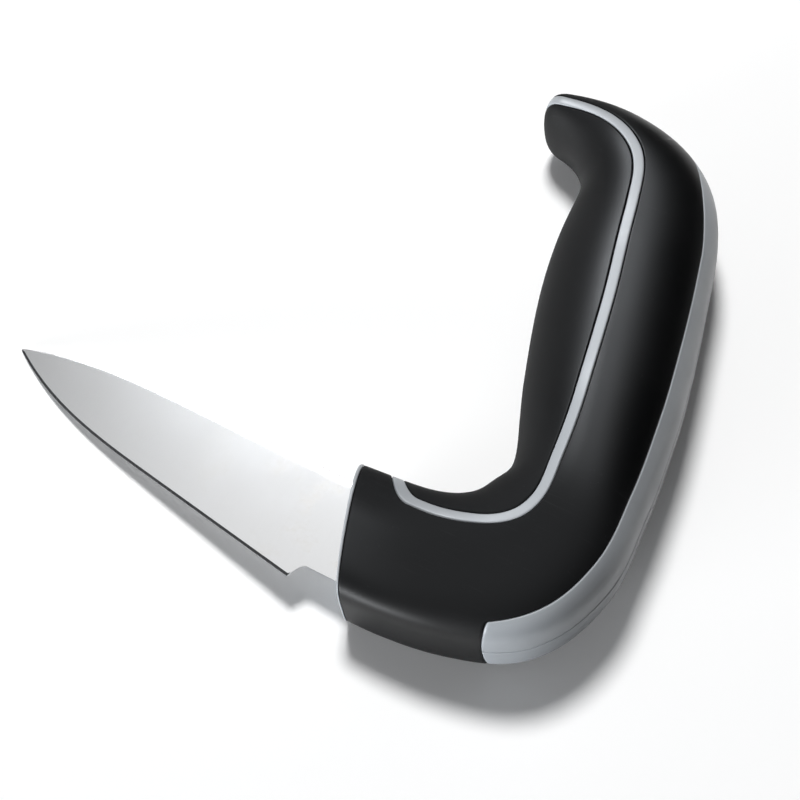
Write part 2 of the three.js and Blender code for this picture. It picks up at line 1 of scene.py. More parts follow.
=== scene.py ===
"""Paring knife with an angled pistol grip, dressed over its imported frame.

The knife lies on its right side on a white table. The surfaces are worked out in the knife's own
frame in millimetres (x from the tip toward the handle, y toward the top of the grip, z toward its
left side, z = 0 the plane of symmetry) and laid down into the row frame in metres.
"""

import logging
import math
from collections.abc import Callable
from dataclasses import dataclass, field
from enum import Enum
from functools import cached_property

import bmesh
import bpy
import numpy as np
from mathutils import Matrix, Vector


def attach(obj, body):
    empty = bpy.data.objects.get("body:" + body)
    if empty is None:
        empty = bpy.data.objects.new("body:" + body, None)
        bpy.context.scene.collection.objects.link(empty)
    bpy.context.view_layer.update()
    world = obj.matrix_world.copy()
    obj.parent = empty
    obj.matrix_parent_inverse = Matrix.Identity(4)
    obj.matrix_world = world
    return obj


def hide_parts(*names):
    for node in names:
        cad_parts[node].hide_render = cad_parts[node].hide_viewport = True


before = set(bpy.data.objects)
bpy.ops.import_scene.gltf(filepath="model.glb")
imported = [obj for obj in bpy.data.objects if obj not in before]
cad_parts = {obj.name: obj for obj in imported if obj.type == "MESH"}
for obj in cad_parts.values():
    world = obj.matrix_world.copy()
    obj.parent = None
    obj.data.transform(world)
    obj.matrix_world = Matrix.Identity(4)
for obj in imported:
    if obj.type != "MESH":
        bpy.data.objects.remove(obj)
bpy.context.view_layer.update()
LOG = logging.getLogger("paring_knife")
Array = np.ndarray
Triple = tuple[float, float, float]
Colour = Triple
Span = tuple[float, float]
Socket = bpy.types.NodeSocket
QUARTER = math.pi / 2
MILLIMETRE = 0.001


class Side(Enum):
    """Which half of the knife a piece belongs to, as the sign of its z."""

    LEFT = 1
    RIGHT = -1


class Mark(Enum):
    """What a column of the blade's points belongs to."""

    CHEEK = 0
    SHOULDER = 1
    EDGE = 2
    BEVEL = 3


class Ray(Enum):
    """Kinds of ray that a studio surface can be shown to, by Light Path's socket name."""

    CAMERA = "Is Camera Ray"
    GLOSSY = "Is Glossy Ray"
    TRANSMISSION = "Is Transmission Ray"


class Lights(Enum):
    """What a lamp lights: everything, or everything but reflections, or only reflections."""

    ALL = "all"
    MATTE = "matte"
    SHEEN = "sheen"


@dataclass(frozen=True)
class LayDown:
    """Turn and shift that lay the knife on its right side, resting on its tip and handle."""

    along: float = -0.10875842
    across: float = -0.02424862
    offset: Triple = (17.639353, -61.310952, 10.734535)

    @cached_property
    def axes(self) -> Array:
        """Row axes in the knife's frame: along the blade, to its side, and the table's normal."""
        up = np.array([-self.along, -self.across, 1.0])
        up /= np.linalg.norm(up)
        blade = np.array([1.0, 0.0, self.along])
        blade /= np.linalg.norm(blade)
        return np.stack([blade, np.cross(up, blade), up])

    def row_metres(self, points: Array) -> Array:
        """Points of the knife's frame in millimetres, laid into the row frame in metres.

        Args:
            points: Any array whose last axis holds x, y and z.

        Returns:
            The same array turned onto the row axes, shifted and scaled to metres.
        """
        return (points @ self.axes.T + np.array(self.offset)) * MILLIMETRE

    def knife_millimetres(self, points: Array) -> Array:
        """Points of the row frame in metres, turned back into the knife's frame in millimetres."""
        return (points / MILLIMETRE - np.array(self.offset)) @ self.axes


@dataclass(frozen=True)
class Course:
    """A value that runs smoothly along the handle, as a cubic through stations."""

    at: tuple[float, ...]
    value: tuple[float, ...]

    def over(self, places: Array) -> Array:
        """Value at places along the handle.

        Between two stations it is the cubic with the stations' values at its ends, and there the
        slope of the chord between the stations before and after.

        Args:
            places: Distances along the handle.

        Returns:
            Values of the same shape.
        """
        at, value = np.asarray(self.at), np.asarray(self.value)
        last = len(at) - 1
        i = np.clip(np.searchsorted(at, places) - 1, 0, last - 1)
        before, after = np.maximum(i - 1, 0), np.minimum(i + 2, last)
        span = at[i + 1] - at[i]
        slope_a = (value[i + 1] - value[before]) / (at[i + 1] - at[before])
        slope_b = (value[after] - value[i]) / (at[after] - at[i])
        t = np.clip((places - at[i]) / span, 0.0, 1.0)
        ends = (2 * t**3 - 3 * t**2 + 1) * value[i] + (3 * t**2 - 2 * t**3) * value[i + 1]
        return ends + span * ((t**3 - 2 * t**2 + t) * slope_a + (t**3 - t**2) * slope_b)


@dataclass(frozen=True)
class SkinLine:
    """A line on the handle's skin, row by row.

    Attributes:
        at: Distance along the handle.
        turn: Turn over the hook's rounded end, 0 before it.
        angle: Angle around the section, 0 on the finger side and a half turn on the back.
    """

    at: Array
    turn: Array
    angle: Array

    def rows(self, first: int, last: int | None = None) -> "SkinLine":
        """The part of the line from one row up to another."""
        return SkinLine(self.at[first:last], self.turn[first:last], self.angle[first:last])

    def turned_to(self, angle: float) -> "SkinLine":
        """A line at the same places, all at one angle."""
        return SkinLine(self.at, self.turn, np.full_like(self.angle, angle))

    def after(self, other: "SkinLine") -> "SkinLine":
        """The line that runs through the other one first and then this one."""
        pairs = zip((other.at, other.turn, other.angle), (self.at, self.turn, self.angle))
        return SkinLine(*(np.concatenate(pair) for pair in pairs))


STATIONS = (-10.0, 16.0, 28.0, 40.0, 53.0, 66.0, 94.0, 122.0, 146.0, 166.0, 182.0, 196.0)


@dataclass(frozen=True)
class HandleForm:
    """Middle line and sections of the handle.

    The middle line is steered by two bends that ease in and out. Each section is a superellipse
    with its own depth on the finger side and on the back.
    """

    path_height: float = 0.9
    path_heading: float = math.radians(5.4)
    elbow: Triple = (7.0, 75.5, math.radians(101.5))
    crown: Triple = (133.5, 54.5, math.radians(78.5))
    length: float = 188.0
    end_round: float = 6.0
    end_square: float = 3.0
    path_step: float = 0.5
    front_at: float = 3.3
    front_lean: float = math.tan(math.radians(16.4))
    front_dome: float = 0.6
    front_fade: float = 32.0
    inner: Course = Course(STATIONS, (18.8, 18.4, 18.6, 18.9, 19.0, 17.5, 20.5, 21.5, 18.6, 12.4, 6.1, 2.9))
    outer: Course = Course(STATIONS, (15.4, 16.9, 18.9, 22.4, 20.0, 16.8, 19.1, 19.6, 18.4, 10.5, 6.1, 3.2))
    half: Course = Course(STATIONS, (10.7, 11.5, 12.1, 12.8, 13.9, 15.0, 16.0, 16.0, 15.0, 13.3, 12.0, 11.0))
    inner_square: Course = Course(STATIONS, (3.2, 3.0, 2.7, 2.4, 2.3, 2.2, 2.1, 2.1, 2.1, 2.1, 2.2, 2.2))
    outer_square: Course = Course(STATIONS, (5.2, 5.2, 5.0, 4.4, 3.5, 3.0, 2.8, 2.8, 2.7, 2.5, 2.4, 2.3))

    @property
    def straight(self) -> float:
        """Where the rounded end of the hook begins."""
        return self.length - self.end_round

    def heading(self, at: Array) -> Array:
        """Direction of the middle line: its first heading plus each bend's turn, eased as 3t²-2t³."""
        total = np.full_like(np.asarray(at, float), self.path_heading)
        for start, length, turn in (self.elbow, self.crown):
            share = np.clip((at - start) / length, 0.0, 1.0)
            total = total + turn * share**2 * (3 - 2 * share)
        return total

    @cached_property
    def path(self) -> tuple[Array, Array, Array]:
        """Distances along the middle line and its x and y, summed from short steps."""
        count = math.ceil((self.length + self.end_round) / self.path_step)
        heading = self.heading((np.arange(count) + 0.5) * self.path_step)
        x = np.concatenate([[0.0], np.cumsum(np.cos(heading))]) * self.path_step
        y = np.concatenate([[0.0], np.cumsum(np.sin(heading))]) * self.path_step
        return np.arange(count + 1) * self.path_step, x, y + self.path_height

    def placed(self, at: Array, depth: Array, z: Array, limit: Array) -> Array:
        """Point of a section, carried to its place along the handle.

        The section stands square to the middle line. Near the front it leans forward in step with
        its depth and bulges by a parabola, both fading out along the handle.

        Args:
            at: Distance along the handle.
            depth: Distance from the middle line toward the back.
            z: Height over the plane of symmetry.
            limit: Half depth of the section on that side.

        Returns:
            Points in the knife's frame.
        """
        s, x, y = self.path
        heading = self.heading(at)
        before = np.minimum(at, 0.0)
        mid_x = np.interp(at, s, x) + before * math.cos(self.path_heading)
        mid_y = np.interp(at, s, y) + before * math.sin(self.path_heading)
        fade = np.clip(1 - (at - self.front_at) / self.front_fade, 0.0, 1.2)
        dome = self.front_dome * (1 - (depth / limit) ** 2)
        along = fade**2 * (depth * self.front_lean - dome)
        px = mid_x + depth * np.sin(heading) + along * np.cos(heading)
        py = mid_y - depth * np.cos(heading) + along * np.sin(heading)
        return np.stack(np.broadcast_arrays(px, py, z), axis=-1)

    def place(self, at: Array, turn: Array, inset: Array) -> tuple[Array, Array]:
        """Distance along the handle and shrink of the section, over its blunt end as well.

        Over the end the section shrinks by the cosine c of the turn while the place moves on by
        (1 - c^q)^(1/q) of the end's length.

        Args:
            at: Distance along the handle, for places before the end.
            turn: Turn over the end, 0 before it.
            inset: How deep the layer lies under the skin.

        Returns:
            Distances and shrinks.
        """
        shrink = np.maximum(np.cos(turn), 1e-6)
        rise = (1 - shrink**self.end_square) ** (1 / self.end_square)
        return np.where(turn > 0, self.straight + (self.end_round - inset) * rise, at), shrink

    def section(
        self, at: Array, angle: Array, inset: Array | float, shrink: Array | float = 1.0
    ) -> tuple[Array, Array]:
        """Radius of the section at an angle, and its half depth on that side.

        The radius is that of a superellipse: the sum of |cos/depth|^p and |sin/half|^p, to the
        power -1/p, with the depth and p of that side.

        Args:
            at: Distance along the handle.
            angle: Angle around the section.
            inset: How deep the layer lies under the skin, below 0 for proud of it.
            shrink: Share of its size that the section keeps.

        Returns:
            Radii and half depths.
        """
        front = np.cos(angle) > 0
        limit = (np.where(front, self.inner.over(at), self.outer.over(at)) - inset) * shrink
        power = np.where(front, self.inner_square.over(at), self.outer_square.over(at))
        half = (self.half.over(at) - inset) * shrink
        total = np.abs(np.cos(angle) / limit) ** power + np.abs(np.sin(angle) / half) ** power
        return total ** (-1 / power), limit

    def skin(self, at: Array, turn: Array, angle: Array, inset: Array | float = 0.0) -> Array:
        """Points of the handle's skin, or of a layer set in under it.

        Args:
            at: Distance along the handle.
            turn: Turn over the rounded end.
            angle: Angle around the section.
            inset: How deep the layer lies under the skin.

        Returns:
            Points in the knife's frame.
        """
        at, turn, angle, inset = np.broadcast_arrays(*map(np.asarray, (at, turn, angle, inset)))
        at, shrink = self.place(at, turn, inset)
        radius, limit = self.section(at, angle, inset, shrink)
        return self.placed(at, -radius * np.cos(angle), radius * np.sin(angle), limit)

    def reach(self, at: Array, angle: Array, probe: float = 0.01) -> Array:
        """How far the skin runs around the section, for each radian at an angle."""
        straight = np.zeros_like(at)
        step = self.skin(at, straight, angle + probe) - self.skin(at, straight, angle - probe)
        return np.linalg.norm(step, axis=-1) / (2 * probe)

    def stretch(self, at: float, probe: float = 0.05) -> float:
        """How far the skin's finger side runs for each millimetre along the path."""
        places = np.array([at - probe, at + probe])
        ends = self.skin(places, np.zeros(2), np.zeros(2))
        return float(np.linalg.norm(ends[1] - ends[0]) / (2 * probe))

    def line(self, line: SkinLine, inset: Array | float = 0.0) -> Array:
        """Points along a skin line, at one depth or at a depth for each row."""
        return self.skin(line.at, line.turn, line.angle, inset)

    def between(self, low: SkinLine, high: SkinLine, shares: Array, inset: Array | float = 0.0) -> Array:
        """Grid of skin between two lines.

        Across each row the place runs straight from one line to the other, and the angle runs
        evenly in the eccentric angle, whose tangent is (sin/half)/(cos/depth), so that points
        spread evenly round the section.

        Args:
            low: Line at share 0.
            high: Line at share 1.
            shares: Shares across.
            inset: Depth under the skin, one number or one for each row and share.

        Returns:
            Points by row and share.
        """
        at = low.at[:, None] + (high.at - low.at)[:, None] * shares
        turn = np.repeat(low.turn[:, None], len(shares), axis=1)
        inner = self.inner.over(low.at)[:, None]
        outer = self.outer.over(low.at)[:, None]
        half = self.half.over(low.at)[:, None]

        def eccentric(angle: Array) -> Array:
            """Eccentric angle of an angle around the section."""
            depth = np.where(np.cos(angle) > 0, inner, outer)
            return np.arctan2(np.sin(angle) / half, np.cos(angle) / depth)

        first, second = eccentric(low.angle[:, None]), eccentric(high.angle[:, None])
        even = first + (second - first) * shares
        depth = np.where(np.cos(even) > 0, inner, outer)
        angle = np.arctan2(half * np.sin(even), depth * np.cos(even))
        return self.skin(at, turn, angle, inset)


@dataclass(frozen=True)
class RowPlan:
    """Rows that the handle's pieces share, so that their seams meet point for point.

    Attributes:
        opening: Turns round the front of the finger pad, 0 to a quarter turn.
        stations: Places along the handle for seams of no margin.
        opened: How far the back band has opened at each of those places, 0 outside it.
        closing: Shares of the turn over the hook's end, closer together toward its last row.
        band_first: First of the stations on the band.
        band_last: Last of them.
    """

    opening: Array
    stations: Array
    opened: Array
    closing: Array
    band_first: int
    band_last: int


@dataclass(frozen=True)
class Seams:
    """Seam lines on the handle: round the finger pad and round the back band."""

    form: HandleForm = HandleForm()
    loop_start: float = 10.4
    loop_round: float = 7.0
    loop_angle: Course = Course(
        (11.0, 20.0, 34.0, 47.0, 54.0, 68.0, 86.0, 112.0, 142.0, 158.0, 170.0, 188.0),
        (39.3, 44.4, 54.8, 70.3, 72.6, 67.9, 74.1, 80.4, 82.5, 92.5, 94.4, 88.6),
    )
    band_start: float = 33.6
    band_end: float = 158.0
    band_round: float = 1.7
    band_angle: Course = Course(
        (32.0, 44.0, 53.0, 66.0, 90.0, 130.0, 148.0, 158.0), (30.5, 30.8, 34.6, 40.4, 36.4, 32.3, 35.5, 22.0)
    )
    opening_rows: int = 26
    approach_rows: int = 20
    round_rows: int = 14
    band_rows: int = 116
    leave_rows: int = 26
    closing_rows: int = 30
    turn_samples: int = 4001

    @cached_property
    def plan(self) -> RowPlan:
        """Rows along the handle, closer together over every rounded end."""
        rounding = np.linspace(0.0, QUARTER, self.round_rows, endpoint=False)
        rise = self.band_round * (1 - np.cos(rounding))
        low, high = self.band_start + self.band_round, self.band_end - self.band_round
        opened_at = self.loop_start + self.loop_round
        parts = [
            np.linspace(opened_at, self.band_start, self.approach_rows, endpoint=False),
            self.band_start + rise,
            np.linspace(low, high, self.band_rows),
            self.band_end - rise[::-1],
            np.linspace(self.band_end, self.form.straight, self.leave_rows)[1:],
        ]
        opened = [
            np.zeros(self.approach_rows),
            np.sin(rounding),
            np.ones(self.band_rows),
            np.sin(rounding)[::-1],
            np.zeros(self.leave_rows - 1),
        ]
        shares = np.linspace(0.0, 1.0, self.closing_rows + 1)[1:]
        first = self.approach_rows
        return RowPlan(
            opening=np.linspace(0.0, QUARTER, self.opening_rows, endpoint=False),
            stations=np.concatenate(parts),
            opened=np.concatenate(opened),
            closing=(1 - np.cos(math.pi * shares)) / 2,
            band_first=first,
            band_last=first + 2 * self.round_rows + self.band_rows - 1,
        )

    def depth_angle(self, at: Array, turn: Array, depth: float) -> Array:
        """Angle at which the section over the hook's end reaches a depth toward the finger side.

        The superellipse gives z = half (1 - |depth/limit|^p)^(1/p) there, and the angle is that of
        the point (depth, z).

        Args:
            at: Distance along the handle.
            turn: Turn over the rounded end.
            depth: Depth toward the finger side, below 0 on the back.

        Returns:
            Angles of the same shape.
        """
        form = self.form
        place, shrink = form.place(at, turn, np.zeros_like(turn))
        limit = (form.inner if depth > 0 else form.outer).over(place) * shrink
        power = (form.inner_square if depth > 0 else form.outer_square).over(place)
        share = np.clip(abs(depth) / limit, 0.0, 1.0)
        return np.arctan2(form.half.over(place) * shrink * (1 - share**power) ** (1 / power), depth)

    def end_turn(self, depth: float) -> float:
        """Turn over the hook's end at which its outline has shrunk to a depth."""
        turn = np.linspace(0.0, QUARTER, self.turn_samples)
        place, shrink = self.form.place(np.zeros_like(turn), turn, np.zeros_like(turn))
        limit = (self.form.inner if depth > 0 else self.form.outer).over(place) * shrink
        return float(np.interp(-abs(depth), -limit, turn))

    def loop(self, margin: float) -> SkinLine:
        """Seam round the finger pad's left half, grown outward by a margin.

        It starts on the plane of symmetry, opens as a quarter ellipse, follows the loop's angle
        plus margin/reach along the grip, and goes over the hook's end at an even depth, back to the
        plane of symmetry.

        Args:
            margin: Distance outward from the loop's middle line, below 0 for inward.

        Returns:
            The line, with one row for each row of the plan.
        """
        plan, form = self.plan, self.form
        ahead = margin / form.stretch(self.loop_start)
        opening = self.loop_start - ahead + self.loop_round * (1 - np.cos(plan.opening))
        room = form.straight - self.loop_start - self.loop_round
        body = plan.stations - ahead * (form.straight - plan.stations) / room
        at = np.concatenate([opening, body])
        opened = np.concatenate([np.sin(plan.opening), np.ones_like(body)])
        middle = np.radians(self.loop_angle.over(at))
        angle = (middle + margin / form.reach(at, middle)) * opened
        end = np.array([form.straight])
        depth = float((form.half.over(end) * np.cos(np.radians(self.loop_angle.over(end))))[0]) - margin
        turn = self.end_turn(depth) * plan.closing
        over_end = np.full_like(turn, form.straight)
        pole = 0.0 if depth > 0 else math.pi
        last = np.where(plan.closing < 1, self.depth_angle(over_end, turn, depth), pole)
        first = SkinLine(at, np.zeros_like(at), angle)
        return SkinLine(over_end, turn, last).after(first)

    def band(self, margin: float) -> SkinLine:
        """Seam round the back band's left half, grown outward by a margin.

        Along the plan's stations it keeps the band's angle plus margin/radius from the middle of
        the back, opened and closed by quarter ellipses, and it lies on the middle of the back
        before and after the band.

        Args:
            margin: Distance outward from the band's edge.

        Returns:
            The line, with one row for each of the plan's stations.
        """
        plan, form = self.plan, self.form
        low, high = self.band_start + self.band_round, self.band_end - self.band_round
        knots = [plan.stations[0], self.band_start, low, high, self.band_end, form.straight]
        at = plan.stations + np.interp(plan.stations, knots, [0, -margin, -margin, margin, margin, 0])
        half_angle = np.radians(self.band_angle.over(at)) + margin / form.outer.over(at)
        return SkinLine(at, np.zeros_like(at), math.pi - half_angle * plan.opened)


@dataclass
class Weave:
    """Patches of points and faces that are welded into one closed mesh."""

    name: str
    lay: LayDown = LayDown()
    points: list[Array] = field(default_factory=list)
    faces: list[list[int]] = field(default_factory=list)
    marks: list[Array] = field(default_factory=list)
    count: int = 0

    def grid(self, points: Array, ring: bool = False, mark: Array | None = None) -> Array:
        """Adds a grid of points, joined by four-sided faces.

        Args:
            points: Points by row and column.
            ring: Whether the last column joins the first.
            mark: A number for each column, kept on its points.

        Returns:
            Numbers of the points, by row and column.
        """
        rows, columns = points.shape[:2]
        index = self.count + np.arange(rows * columns).reshape(rows, columns)
        across = np.concatenate([index, index[:, :1]], axis=1) if ring else index
        quads = np.stack([across[:-1, :-1], across[:-1, 1:], across[1:, 1:], across[1:, :-1]], axis=-1)
        self.points.append(points.reshape(-1, 3))
        self.faces.extend(quads.reshape(-1, 4).tolist())
        marks = np.zeros(columns) if mark is None else mark
        self.marks.append(np.tile(marks, rows))
        self.count += rows * columns
        return index

    def tube(self, points: Array, mark: Array | None = None) -> None:
        """Adds a grid whose rows close into rings, with one face over the first and the last."""
        index = self.grid(points, ring=True, mark=mark)
        self.faces += [index[0].tolist(), index[-1][::-1].tolist()]

    def both_halves(self) -> "Weave":
        """Adds the mirror image of everything so far."""
        faces = [[i + self.count for i in reversed(face)] for face in self.faces]
        self.points.append(np.concatenate(self.points) * np.array([1.0, 1.0, -1.0]))
        self.marks.append(np.concatenate(self.marks))
        self.faces.extend(faces)
        self.count *= 2
        return self

    def piece(self, material: bpy.types.Material, weld: float = 1e-3) -> bpy.types.Object:
        """Makes the object: laid down, doubles merged, faces outward, smooth.

        Args:
            material: The finish of all its faces.
            weld: Points closer than this many millimetres are merged.

        Returns:
            The new object, in the scene.
        """
        mesh = bpy.data.meshes.new(self.name)
        vertices = self.lay.row_metres(np.concatenate(self.points))
        mesh.from_pydata(vertices, [], self.faces)
        mark = mesh.attributes.new("mark", "FLOAT", "POINT")
        mark.data.foreach_set("value", np.concatenate(self.marks).astype(np.float32))
        work = bmesh.new()
        work.from_mesh(mesh)
        bmesh.ops.remove_doubles(work, verts=work.verts[:], dist=weld * MILLIMETRE)
        bmesh.ops.recalc_face_normals(work, faces=work.faces[:])
        work.to_mesh(mesh)
        work.free()
        mesh.polygons.foreach_set("use_smooth", np.ones(len(mesh.polygons), dtype=bool))
        mesh.materials.append(material)
        mesh.update()
        made = bpy.data.objects.new(self.name, mesh)
        bpy.context.scene.collection.objects.link(made)
        return made


def seated(made: bpy.types.Object, slot: str, *nodes: str) -> bpy.types.Object:
    """Puts a piece on the knife's body, hides the CAD nodes that it stands for, and logs it.

    Args:
        made: The new piece.
        slot: Material slot of the record; not used.
        nodes: CAD nodes that the piece replaces.

    Returns:
        The piece.
    """
    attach(made, "root")
    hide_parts(*nodes)
    LOG.info("%s: %d faces, for %s", made.name, len(made.data.polygons), ", ".join(nodes))
    return made


def eased_shares(count: int, crowding: float = 0.13) -> Array:
    """Shares from 0 to 1 that lie closer together at both ends: t - c sin(2πt)."""
    t = np.linspace(0.0, 1.0, count)
    return t - crowding * np.sin(2 * math.pi * t)


def rolled_edge(radius: float, depth: float, steps: int = 6) -> tuple[Array, Array]:
    """Profile of a piece's edge: a quarter circle off the skin, then straight down.

    Args:
        radius: Radius of the quarter circle.
        depth: Depth of the foot of the edge.
        steps: Steps round the circle.

    Returns:
        How far each point lies from the edge's outmost line, and how deep.
    """
    turn = np.linspace(0.0, QUARTER, steps)
    back = np.append(radius * (1 - np.sin(turn)), 0.0)
    return back, np.append(radius * (1 - np.cos(turn)), depth)


@dataclass
class SoftCover:
    """The two soft black mouldings: the body cover and the finger pad."""

    seams: Seams
    finish: bpy.types.Material
    loop_half: float = 1.35
    seam_gap: float = 0.1
    edge_round: float = 0.42
    thickness: float = 2.1
    settle: float = 0.06
    front_edge: float = 4.0
    columns: int = 54
    front_rows: int = 12

    def seam_strip(
        self, line: Callable[[float], SkinLine], edge: float, toward: int, first: int, last: int | None
    ) -> Array:
        """Edge of a cover along a seam, as the rolled profile carried along it.

        Args:
            line: The seam, as a function of its margin.
            edge: Margin of the edge's outmost line.
            toward: 1 where the cover lies outside the seam, -1 where inside.
            first: First row.
            last: Row after the last one.

        Returns:
            Points by row and profile point.
        """
        back, inset = rolled_edge(self.edge_round, self.thickness)
        form = self.seams.form
        lines = [line(edge + toward * b).rows(first, last) for b in back]
        layers = [form.line(each, self.settle + d) for each, d in zip(lines, inset)]
        return np.stack(layers, axis=1)

    def body_lines(self, back: float, front: Array) -> tuple[SkinLine, SkinLine]:
        """The lower and upper bounds of the body cover's left half.

        Args:
            back: How far the bounds keep back from the cover's edges along its seams.
            front: Places of the rows before the finger pad, as shares from the front edge to it.

        Returns:
            The line along the finger side and the loop, and the line along the back and the band.
        """
        seams = self.seams
        edge = self.loop_half + self.seam_gap + back
        loop, band = seams.loop(edge), seams.band(self.seam_gap + back)
        opening, closing = len(seams.plan.opening), len(seams.plan.closing)
        front_at = self.front_edge + front * (loop.at[0] - self.front_edge)
        zero = np.zeros_like(front_at)
        ahead = SkinLine(front_at, zero, zero)
        over_end = loop.rows(-closing).turned_to(math.pi)
        upper = over_end.after(band.after(loop.rows(0, opening).turned_to(math.pi)))
        return loop.after(ahead), upper.after(ahead.turned_to(math.pi))

    def body(self) -> bpy.types.Object:
        """Body cover: skin, rolled edges along its front and both seams, and an inner layer."""
        form, plan = self.seams.form, self.seams.plan
        weave = Weave("body_cover")
        shares = eased_shares(self.columns)
        room = self.seams.loop(self.loop_half + self.seam_gap + self.edge_round).at[0] - self.front_edge
        back, inset = rolled_edge(self.edge_round, self.thickness)
        front = np.concatenate([back[::-1], np.linspace(self.edge_round, room, self.front_rows)[1:-1]]) / room
        lower, upper = self.body_lines(self.edge_round, front)
        depth = np.zeros(len(lower.at))
        depth[: len(inset)] = inset[::-1]
        weave.grid(form.between(lower, upper, shares, self.settle + depth[:, None]))
        ahead = len(front)
        weave.grid(self.seam_strip(self.seams.loop, self.loop_half + self.seam_gap, 1, 0, None))
        weave.grid(self.seam_strip(self.seams.band, self.seam_gap, 1, plan.band_first, plan.band_last + 2))
        low_in, high_in = self.body_lines(0.0, np.linspace(0.0, 1.0, ahead, endpoint=False))
        weave.grid(form.between(low_in, high_in, shares, self.settle + self.thickness))
        return seated(weave.both_halves().piece(self.finish), "soft_black", "body_grip")

    def pad(self) -> bpy.types.Object:
        """Finger pad: skin between the two halves of the loop, rolled edges and an inner layer."""
        form = self.seams.form
        weave = Weave("finger_pad")
        edge = -self.loop_half - self.seam_gap
        shares = eased_shares(self.columns)
        for back, depth in ((self.edge_round, 0.0), (0.0, self.thickness)):
            line = self.seams.loop(edge - back)
            weave.grid(form.between(line.turned_to(0.0), line, shares, self.settle + depth))
        weave.grid(self.seam_strip(self.seams.loop, edge, -1, 0, None))
        return seated(weave.both_halves().piece(self.finish), "soft_black", "finger_grip")


